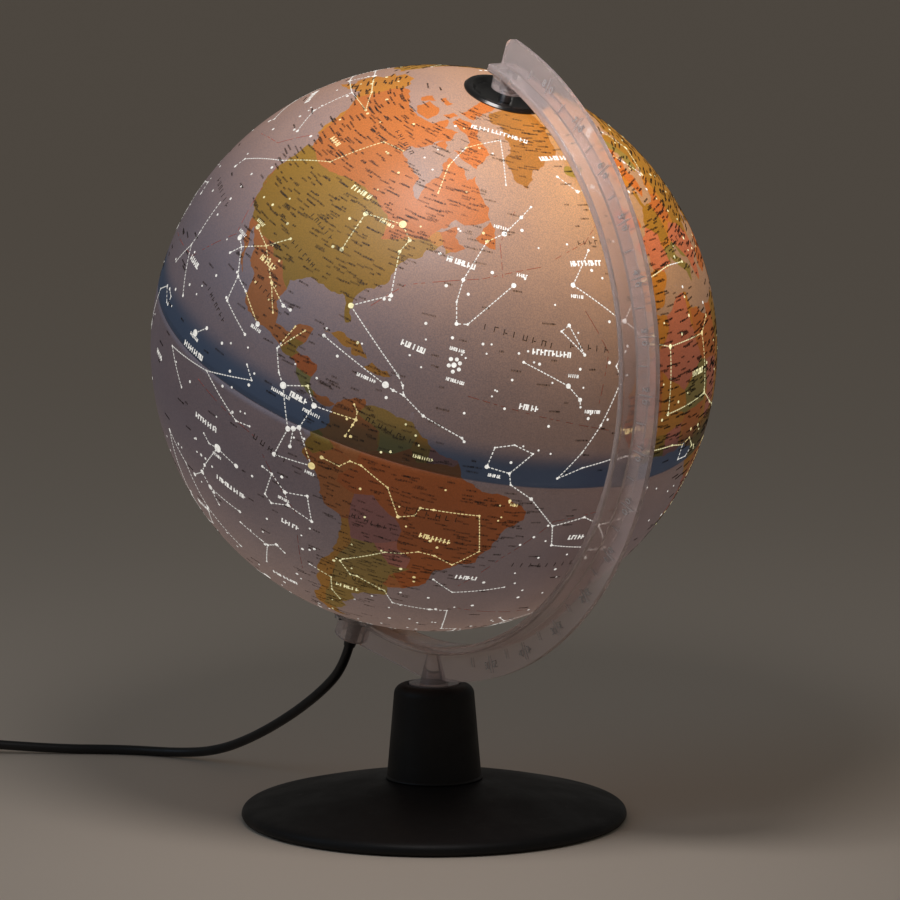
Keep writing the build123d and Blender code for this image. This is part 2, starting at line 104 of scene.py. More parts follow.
# ------------------------------------------------------------------ shader helpers
class Nodes:
    """Places and links the nodes of one tree in few words."""

    def __init__(self, tree: bpy.types.NodeTree) -> None:
        """Keeps the tree that nodes are added to."""
        self.tree = tree

    def add(self, kind: str, inputs: dict | None = None, **settings: object) -> bpy.types.Node:
        """Adds a node.

        Args:
            kind: the node's type name.
            inputs: values or output sockets by input name or number.
            settings: properties of the node.

        Returns:
            The new node.
        """
        node = self.tree.nodes.new(kind)
        for key, value in settings.items():
            setattr(node, key, value)
        for key, value in (inputs or {}).items():
            if isinstance(value, bpy.types.NodeSocket):
                self.tree.links.new(value, node.inputs[key])
            else:
                node.inputs[key].default_value = value
        return node

    def math(self, operation: str, a: object, b: object = 0.0, clamp: bool = False) -> bpy.types.NodeSocket:
        """The output of one Math node."""
        return self.add("ShaderNodeMath", {0: a, 1: b}, operation=operation, use_clamp=clamp).outputs[0]

    def vector(self, operation: str, a: object, b: object = (0, 0, 0)) -> bpy.types.Node:
        """One Vector Math node."""
        return self.add("ShaderNodeVectorMath", {0: a, 1: b}, operation=operation)

    def mix(self, factor: object, a: object, b: object, blend: str = "MIX") -> bpy.types.NodeSocket:
        """The colour that a Mix node gives."""
        node = self.add("ShaderNodeMix", {0: factor, 6: a, 7: b}, data_type="RGBA", blend_type=blend)
        return node.outputs[2]

    def spread(self, value: object, low: float, high: float, to_low: float,
               to_high: float) -> bpy.types.NodeSocket:
        """A value carried smoothly from one range to another."""
        node = self.add("ShaderNodeMapRange", {0: value, 1: low, 2: high, 3: to_low, 4: to_high},
                        interpolation_type="SMOOTHSTEP")
        return node.outputs[0]

    def scaled(self, vector: object, factor: bpy.types.NodeSocket) -> bpy.types.NodeSocket:
        """A vector or a colour made longer or shorter by a value."""
        node = self.vector("SCALE", vector)
        self.tree.links.new(factor, node.inputs["Scale"])
        return node.outputs[0]

    def grain(self, size: float, patch: float) -> bpy.types.Node:
        """The moulded grain's group, set to a grain size and a patch size."""
        group = self.add("ShaderNodeGroup", node_tree=GRAIN)
        group.inputs["Grain Size"].default_value = size
        group.inputs["Patch Size"].default_value = patch
        return group

    def bump(self, shader: bpy.types.Node, height: bpy.types.NodeSocket, depth: float,
             strength: float = 1.0) -> None:
        """Bumps a shader's normal by a height."""
        node = self.add("ShaderNodeBump", {"Height": height, "Distance": depth, "Strength": strength})
        self.tree.links.new(node.outputs[0], shader.inputs["Normal"])


def shader_group(name: str, inputs: dict[str, float], outputs: dict[str, str]) -> tuple:
    """Starts a shader node group.

    Args:
        name: the group's name.
        inputs: float inputs and their usual values.
        outputs: output names and their socket types.

    Returns:
        The tree, a Nodes for it, its input node and its output node.
    """
    tree = bpy.data.node_groups.new(name, "ShaderNodeTree")
    for key, value in inputs.items():
        tree.interface.new_socket(key, in_out="INPUT", socket_type="NodeSocketFloat").default_value = value
    for key, kind in outputs.items():
        tree.interface.new_socket(key, in_out="OUTPUT", socket_type=kind)
    nodes = Nodes(tree)
    return tree, nodes, nodes.add("NodeGroupInput"), nodes.add("NodeGroupOutput")


def grain_group() -> bpy.types.NodeTree:
    """Fine spark-eroded grain with slow unevenness and small scuffs: a height and two masks."""
    tree, n, given, out = shader_group(
        "moulded_grain", {"Grain Size": 0.0004, "Patch Size": 0.03},
        {"Height": "NodeSocketFloat", "Patches": "NodeSocketFloat", "Scuffs": "NodeSocketFloat"})
    place = n.add("ShaderNodeTexCoord").outputs["Object"]
    fine = n.math("DIVIDE", 1.0, given.outputs["Grain Size"])
    slow = n.math("DIVIDE", 1.0, given.outputs["Patch Size"])
    grain = n.add("ShaderNodeTexNoise", {"Vector": place, "Scale": fine, "Detail": 2.0})
    patch = n.add("ShaderNodeTexNoise", {"Vector": place, "Scale": slow, "Detail": 4.0, "Roughness": 0.6})
    streak = n.vector("MULTIPLY", place, (1.0, 1.0, 9.0)).outputs[0]
    close = n.math("MULTIPLY", slow, 5.0)
    scuff = n.add("ShaderNodeTexNoise", {"Vector": streak, "Scale": close, "Detail": 6.0})
    n.tree.links.new(grain.outputs["Fac"], out.inputs["Height"])
    n.tree.links.new(patch.outputs["Fac"], out.inputs["Patches"])
    n.tree.links.new(n.spread(scuff.outputs["Fac"], 0.62, 0.74, 0.0, 1.0), out.inputs["Scuffs"])
    return tree


# ------------------------------------------------------------------ the lamp's glow
LAMP_SPOT = POLAR @ Vector((0.022, 0.0, 0.068))


@dataclass(frozen=True)
class LampGlow:
    """The lamp's light through the shell: straight from the bulb, everywhere, near the top and the foot.

    A dim band of painted shade lies just north of the seam, where the double wall holds back the lamp's
    light, with painted blue light in it. Heights are along the ball's axis, from -1 at the south pole to 1
    at the north pole.
    """

    direct: Colour = (0.104, 0.044, 0.005)
    base: Colour = (0.0, 0.014, 0.034)
    crown: Colour = (0.21, 0.10, 0.036)
    foot: Colour = (0.10, 0.06, 0.036)
    crown_rise: Span = (0.28, 0.92)
    foot_fade: Span = (-0.90, -0.20)
    band_rise: Span = (0.045, 0.17)
    band_fade: Span = (-0.004, 0.006)
    band_light_left: float = 0.09
    band_blue_light: Colour = (0.002, 0.009, 0.021)
    speck_scale: float = 1900.0
    speck: float = 0.22
    cloud_scale: float = 26.0
    cloud: float = 0.10

    def through(self, n: Nodes, place: bpy.types.NodeSocket, height: bpy.types.NodeSocket,
                outward: bpy.types.NodeSocket) -> bpy.types.NodeSocket:
        """The smooth light at a point, before the grain and the band.

        Args:
            n: the group's nodes.
            place: the point.
            height: its height along the axis.
            outward: the direction from the ball's centre.

        Returns:
            The light's colour.
        """
        ray = n.vector("SUBTRACT", place, tuple(LAMP_SPOT)).outputs[0]
        far = n.vector("LENGTH", ray).outputs["Value"]
        facing = n.vector("DOT_PRODUCT", ray, outward).outputs["Value"]
        cube = n.math("POWER", n.math("DIVIDE", far, BALL_R), 3.0)
        direct = n.math("DIVIDE", n.math("DIVIDE", facing, BALL_R), cube)
        crown = n.spread(height, *self.crown_rise, 0.0, 1.0)
        foot = n.spread(height, *self.foot_fade, 1.0, 0.0)
        rgb = []
        for gain, base, over, under in zip(self.direct, self.base, self.crown, self.foot):
            lit = n.math("ADD", n.math("MULTIPLY", direct, gain), base)
            round_about = n.math("ADD", n.math("MULTIPLY", crown, over), n.math("MULTIPLY", foot, under))
            rgb.append(n.math("ADD", lit, round_about))
        return n.add("ShaderNodeCombineColor", dict(enumerate(rgb))).outputs[0]

    def group(self) -> bpy.types.NodeTree:
        """The shader node group that gives the light at a point."""
        tree, n, given, out = shader_group("lamp_glow", {"Grain": 1.0}, {"Light": "NodeSocketColor"})
        place = n.add("ShaderNodeTexCoord").outputs["Object"]
        outward = n.vector("NORMALIZE", n.vector("SUBTRACT", place, tuple(CENTRE)).outputs[0]).outputs[0]
        height = n.vector("DOT_PRODUCT", outward, tuple(NORTH)).outputs["Value"]
        smooth = self.through(n, place, height, outward)
        speck = n.add("ShaderNodeTexNoise", {"Vector": place, "Scale": self.speck_scale, "Detail": 1.0})
        cloud = n.add("ShaderNodeTexNoise", {"Vector": place, "Scale": self.cloud_scale, "Detail": 3.0})
        uneven = n.math("ADD", n.spread(speck.outputs["Fac"], 0.25, 0.75, -self.speck, self.speck),
                        n.spread(cloud.outputs["Fac"], 0.2, 0.8, -self.cloud, self.cloud))
        uneven = n.math("ADD", n.math("MULTIPLY", uneven, given.outputs["Grain"]), 1.0)
        # painted shade in a band just north of the seam, where the double wall holds back the lamp's light, and
        # painted blue light in that band
        fade = n.spread(height, *self.band_rise, 0.0, 1.0)
        edge = n.spread(height, *self.band_fade, 1.0, 0.0)
        clear = n.math("ADD", n.math("MAXIMUM", fade, edge), 0.0, clamp=True)
        dim = n.scaled(n.scaled(smooth, uneven), n.spread(clear, 0.0, 1.0, self.band_light_left, 1.0))
        blue = n.scaled(self.band_blue_light, n.math("SUBTRACT", 1.0, clear))
        tree.links.new(n.vector("ADD", dim, blue).outputs[0], out.inputs["Light"])
        return tree


GRAIN = grain_group()
GLOW = LampGlow().group()


def blank_material(name: str) -> tuple[bpy.types.Material, Nodes, bpy.types.Node]:
    """A material with a Principled shader: the material, its Nodes and the shader."""
    material = bpy.data.materials.new(name)
    material.use_nodes = True
    nodes = Nodes(material.node_tree)
    return material, nodes, material.node_tree.nodes["Principled BSDF"]


def rgba(colour: Colour) -> tuple[float, float, float, float]:
    """A colour with full alpha."""
    return (*colour, 1.0)


# ------------------------------------------------------------------ finishes
PATCH_SHADE = 0.72  # how light a moulded finish stays in its dark patches
SCUFF_SHOW = 0.55  # how strongly the worn colour shows in a scuff
SCUFF_POLISH = 0.12  # how much smoother a scuff is


@dataclass(frozen=True)
class Moulded:
    """A solid finish with moulded grain, slow patches and scuffs: plastics, rubber and felt."""

    name: str
    colour: Colour
    worn: Colour
    rough: Span = (0.45, 0.6)
    grain: float = 0.0005
    patch: float = 0.03
    relief: float = 0.00006
    sheen: float = 0.0
    coat: float = 0.0
    shine: float = 0.5

    def build(self) -> bpy.types.Material:
        """The finished material."""
        material, n, shader = blank_material(self.name)
        group = n.grain(self.grain, self.patch)
        wear = n.math("MULTIPLY", group.outputs["Scuffs"], SCUFF_SHOW)
        shaded = tuple(PATCH_SHADE * c for c in self.colour)
        tone = n.mix(group.outputs["Patches"], rgba(self.colour), rgba(shaded))
        n.tree.links.new(n.mix(wear, tone, rgba(self.worn)), shader.inputs["Base Color"])
        rough = n.spread(group.outputs["Patches"], 0.25, 0.75, *self.rough)
        polish = n.math("MULTIPLY", wear, SCUFF_POLISH)
        n.tree.links.new(n.math("SUBTRACT", rough, polish), shader.inputs["Roughness"])
        n.bump(shader, group.outputs["Height"], self.relief)
        shader.inputs["Sheen Weight"].default_value = self.sheen
        shader.inputs["Specular IOR Level"].default_value = self.shine
        shader.inputs["Coat Weight"].default_value = self.coat
        shader.inputs["Coat Roughness"].default_value = 0.12
        return material


@dataclass(frozen=True)
class Metal:
    """Plated or turned metal with fine tool lines and dull patches."""

    name: str
    colour: Colour
    rough: Span = (0.22, 0.42)

    def build(self) -> bpy.types.Material:
        """The finished material."""
        material, n, shader = blank_material(self.name)
        group = n.grain(0.00025, 0.006)
        tone = n.mix(group.outputs["Patches"], rgba(self.colour), rgba(tuple(0.7 * c for c in self.colour)))
        n.tree.links.new(tone, shader.inputs["Base Color"])
        rough = n.spread(group.outputs["Patches"], 0.2, 0.8, *self.rough)
        n.tree.links.new(rough, shader.inputs["Roughness"])
        n.bump(shader, group.outputs["Height"], 0.00002)
        shader.inputs["Metallic"].default_value = 1.0
        return material


@dataclass(frozen=True)
class Clear:
    """Clear moulded plastic or glass with a faint tint, flow marks and fine haze."""

    name: str
    colour: Colour
    deep: Colour
    rough: Span = (0.05, 0.16)
    through: float = 1.0
    ior: float = 1.46
    flow: float = 0.02

    def build(self) -> bpy.types.Material:
        """The finished material."""
        material, n, shader = blank_material(self.name)
        group = n.grain(0.0015, self.flow)
        n.tree.links.new(n.mix(group.outputs["Patches"], rgba(self.colour), rgba(self.deep)),
                         shader.inputs["Base Color"])
        rough = n.spread(group.outputs["Patches"], 0.3, 0.7, *self.rough)
        n.tree.links.new(rough, shader.inputs["Roughness"])
        n.bump(shader, group.outputs["Patches"], 0.0004, 0.35)
        shader.inputs["Transmission Weight"].default_value = self.through
        shader.inputs["IOR"].default_value = self.ior
        return material


@dataclass(frozen=True)
class PrintedShell:
    """The ball's shell: printed ink over milky plastic, lit from inside."""

    name: str = "printed_shell"

    def build(self) -> bpy.types.Material:
        """The finished material; it reads the colour attributes ink and paint."""
        material, n, shader = blank_material(self.name)
        glow = n.add("ShaderNodeGroup", node_tree=GLOW)
        ink = n.add("ShaderNodeAttribute", attribute_name="ink").outputs["Color"]
        paint = n.add("ShaderNodeAttribute", attribute_name="paint").outputs["Color"]
        n.tree.links.new(n.mix(1.0, ink, glow.outputs["Light"], "MULTIPLY"), shader.inputs["Emission Color"])
        shader.inputs["Emission Strength"].default_value = 1.0
        group = n.grain(0.0006, 0.05)
        dull = n.mix(n.spread(group.outputs["Patches"], 0.2, 0.8, 0.0, 0.25), paint, rgba((0.05, 0.05, 0.06)))
        n.tree.links.new(dull, shader.inputs["Base Color"])
        n.tree.links.new(n.spread(group.outputs["Patches"], 0.2, 0.8, 0.42, 0.58), shader.inputs["Roughness"])
        n.bump(shader, group.outputs["Height"], 0.00003)
        return material


@dataclass(frozen=True)
class Shining:
    """Anything that glows in its own printed colour: the stars, the sky's lines and the filament."""

    name: str
    attribute: str = ""
    colour: Colour = (1.0, 1.0, 1.0)
    strength: float = 1.0
    flicker: float = 700.0

    def build(self) -> bpy.types.Material:
        """The finished material."""
        material, n, shader = blank_material(self.name)
        place = n.add("ShaderNodeTexCoord").outputs["Object"]
        noise = n.add("ShaderNodeTexNoise", {"Vector": place, "Scale": self.flicker}).outputs["Fac"]
        own = n.add("ShaderNodeAttribute", attribute_name=self.attribute).outputs["Color"] if self.attribute \
            else rgba(self.colour)
        uneven = n.mix(n.spread(noise, 0.3, 0.7, 0.0, 0.28), own, rgba((0.0, 0.0, 0.0)))
        n.tree.links.new(uneven, shader.inputs["Emission Color"])
        shader.inputs["Emission Strength"].default_value = self.strength
        shader.inputs["Base Color"].default_value = rgba((0.1, 0.1, 0.1))
        shader.inputs["Roughness"].default_value = 0.5
        return material


@dataclass(frozen=True)
class Ink:
    """Thin opaque print: lettering bars and the lines of currents."""

    name: str
    colour: Colour

    def build(self) -> bpy.types.Material:
        """The finished material."""
        material, n, shader = blank_material(self.name)
        place = n.add("ShaderNodeTexCoord").outputs["Object"]
        noise = n.add("ShaderNodeTexNoise", {"Vector": place, "Scale": 900.0, "Detail": 2.0}).outputs["Fac"]
        pale = tuple(min(1.0, 1.9 * c + 0.02) for c in self.colour)
        n.tree.links.new(n.mix(n.spread(noise, 0.4, 0.8, 0.0, 1.0), rgba(self.colour), rgba(pale)),
                         shader.inputs["Base Color"])
        shader.inputs["Roughness"].default_value = 0.6
        return material


FINISHES: dict[str, Moulded | Metal | Clear | Shining] = {
    "black_plastic": Moulded("black_plastic", (0.0050, 0.0048, 0.0050), (0.011, 0.011, 0.011), (0.44, 0.60),
                             shine=0.28),
    "cap_plastic": Moulded("cap_plastic", (0.009, 0.009, 0.009), (0.03, 0.03, 0.03), (0.16, 0.28),
                           relief=0.00001, coat=0.3),
    "white_plastic": Moulded("white_plastic", (0.74, 0.73, 0.69), (0.6, 0.59, 0.55), (0.35, 0.5)),
    "cord_rubber": Moulded("cord_rubber", (0.009, 0.009, 0.0095), (0.022, 0.022, 0.022), (0.38, 0.55),
                           grain=0.0004, patch=0.012, relief=0.00003),
    "felt": Moulded("felt", (0.035, 0.035, 0.04), (0.06, 0.06, 0.065), (0.9, 1.0), grain=0.0009,
                    relief=0.0006, sheen=0.5),
    "steel": Metal("steel", (0.56, 0.57, 0.6)),
    "brass": Metal("brass", (0.78, 0.58, 0.27)),
    "clear_plastic": Clear("clear_plastic", (1.0, 0.91, 0.89), (0.97, 0.84, 0.83), (0.05, 0.13), 0.74),
    "lamp_glass": Clear("lamp_glass", (0.99, 0.98, 0.96), (0.97, 0.96, 0.94), (0.0, 0.03)),
    "lamp_filament": Shining("lamp_filament", colour=(1.0, 0.62, 0.28), strength=12.0),
}


# ------------------------------------------------------------------ mesh helpers
def add_piece(name: str, mesh: bpy.types.Mesh, material: bpy.types.Material, body: Body) -> bpy.types.Object:
    """Shows a mesh as a piece of the object.

    Args:
        name: the piece's name.
        mesh: its mesh, in the row frame.
        material: its one material.
        body: the body it rides on.

    Returns:
        The new object.
    """
    piece = bpy.data.objects.new(name, mesh)
    bpy.context.scene.collection.objects.link(piece)
    if not mesh.materials:
        mesh.materials.append(material)
    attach(piece, body.value)
    log.info("%s: %d faces on %s", name, len(mesh.polygons), body.value)
    return piece


def frozen(holder: bpy.types.Object) -> bpy.types.Mesh:
    """The plain mesh that an object's modifiers give; the object is removed."""
    graph = bpy.context.evaluated_depsgraph_get()
    mesh = bpy.data.meshes.new_from_object(holder.evaluated_get(graph))
    bpy.data.objects.remove(holder)
    return mesh


class Stamp(Enum):
    """The shapes that are repeated over the ball and the arm."""

    BAR = "GeometryNodeMeshCube"
    DISC = "GeometryNodeMeshCylinder"


def stamp_tree(shape: Stamp) -> bpy.types.NodeTree:
    """Geometry Nodes that set one shape on every point, turned and sized by the point's attributes."""
    tree = bpy.data.node_groups.new(f"stamp_{shape.name.lower()}", "GeometryNodeTree")
    face = tree.interface
    face.new_socket("Points", in_out="INPUT", socket_type="NodeSocketGeometry")
    for name, value in (("Length", 1.0), ("Width", 1.0), ("Height", 1.0)):
        face.new_socket(name, in_out="INPUT", socket_type="NodeSocketFloat").default_value = value
    face.new_socket("Material", in_out="INPUT", socket_type="NodeSocketMaterial")
    face.new_socket("Mesh", in_out="OUTPUT", socket_type="NodeSocketGeometry")
    n = Nodes(tree)
    given, out = n.add("NodeGroupInput"), n.add("NodeGroupOutput")
    if shape is Stamp.BAR:
        size = n.add("ShaderNodeCombineXYZ", {0: given.outputs["Length"], 1: given.outputs["Width"],
                                              2: given.outputs["Height"]}).outputs[0]
        item = n.add(shape.value, {"Size": size}).outputs["Mesh"]
    else:
        item = n.add(shape.value, {"Vertices": 12, "Radius": given.outputs["Width"],
                                   "Depth": given.outputs["Height"]}).outputs["Mesh"]
    turn = n.add("GeometryNodeInputNamedAttribute", {"Name": "turn"}, data_type="FLOAT_VECTOR").outputs[0]
    size = n.add("GeometryNodeInputNamedAttribute", {"Name": "size"}, data_type="FLOAT_VECTOR").outputs[0]
    placed = n.add("GeometryNodeInstanceOnPoints", {"Points": given.outputs["Points"], "Instance": item,
                                                    "Rotation": turn, "Scale": size})
    real = n.add("GeometryNodeRealizeInstances", {0: placed.outputs[0]})
    dressed = n.add("GeometryNodeSetMaterial", {0: real.outputs[0], "Material": given.outputs["Material"]})
    tree.links.new(dressed.outputs[0], out.inputs[0])
    return tree


class Stamps:
    """Collects places for one repeated shape and turns them into one mesh."""

    trees: dict[Stamp, bpy.types.NodeTree] = {}

    def __init__(self, shape: Stamp) -> None:
        """Starts with no places."""
        self.shape = shape
        self.places: list[Matrix] = []
        self.sizes: list[Spot] = []
        self.colours: list[Colour] = []

    def put(self, place: Matrix, size: Spot, colour: Colour = (1, 1, 1)) -> None:
        """Adds one shape at a frame, with its size along the frame's axes and a colour."""
        self.places.append(place)
        self.sizes.append(size)
        self.colours.append(colour)

    def mesh(self, material: bpy.types.Material) -> bpy.types.Mesh:
        """All the shapes as one plain mesh."""
        if self.shape not in self.trees:
            self.trees[self.shape] = stamp_tree(self.shape)
        tree = self.trees[self.shape]
        points = bpy.data.meshes.new("places")
        points.from_pydata([p.translation for p in self.places], [], [])
        turns = np.array([p.to_euler()[:] for p in self.places], np.float32)
        for name, kind, data in (("turn", "FLOAT_VECTOR", turns), ("size", "FLOAT_VECTOR", self.sizes)):
            flat = np.ravel(data).astype(np.float32)
            points.attributes.new(name, kind, "POINT").data.foreach_set("vector", flat)
        full = np.array([(*c, 1.0) for c in self.colours], np.float32)
        points.attributes.new("glint", "FLOAT_COLOR", "POINT").data.foreach_set("color", full.ravel())
        holder = bpy.data.objects.new("places", points)
        bpy.context.scene.collection.objects.link(holder)
        stamp = holder.modifiers.new("stamp", "NODES")
        stamp.node_group = tree
        sockets = {s.name: s.identifier for s in tree.interface.items_tree if s.in_out == "INPUT"}
        for name in ("Length", "Width", "Height"):
            stamp[sockets[name]] = 1.0
        stamp[sockets["Material"]] = material
        return frozen(holder)


# ------------------------------------------------------------------ the printed map
class Tint(Enum):
    """Printed inks: what is left of the lamp's red, green and blue light behind each."""

    SEA = (1.0, 1.0, 1.0)
    AMBER = (1.12, 0.54, 0.19)
    CITRON = (0.76, 0.62, 0.12)
    RUST = (1.16, 0.44, 0.13)
    OLIVE = (0.86, 0.76, 0.25)
    ROSE = (1.18, 0.60, 0.50)
    GOLD = (1.12, 0.72, 0.16)
    BRONZE = (0.72, 0.50, 0.17)
    MAUVE = (0.88, 0.52, 0.52)
    LEAF = (0.60, 0.72, 0.30)

    @property
    def paint(self) -> Colour:
        """The ink's colour in reflected light."""
        return (0.085, 0.122, 0.190) if self is Tint.SEA else tuple(0.17 * c for c in self.value)


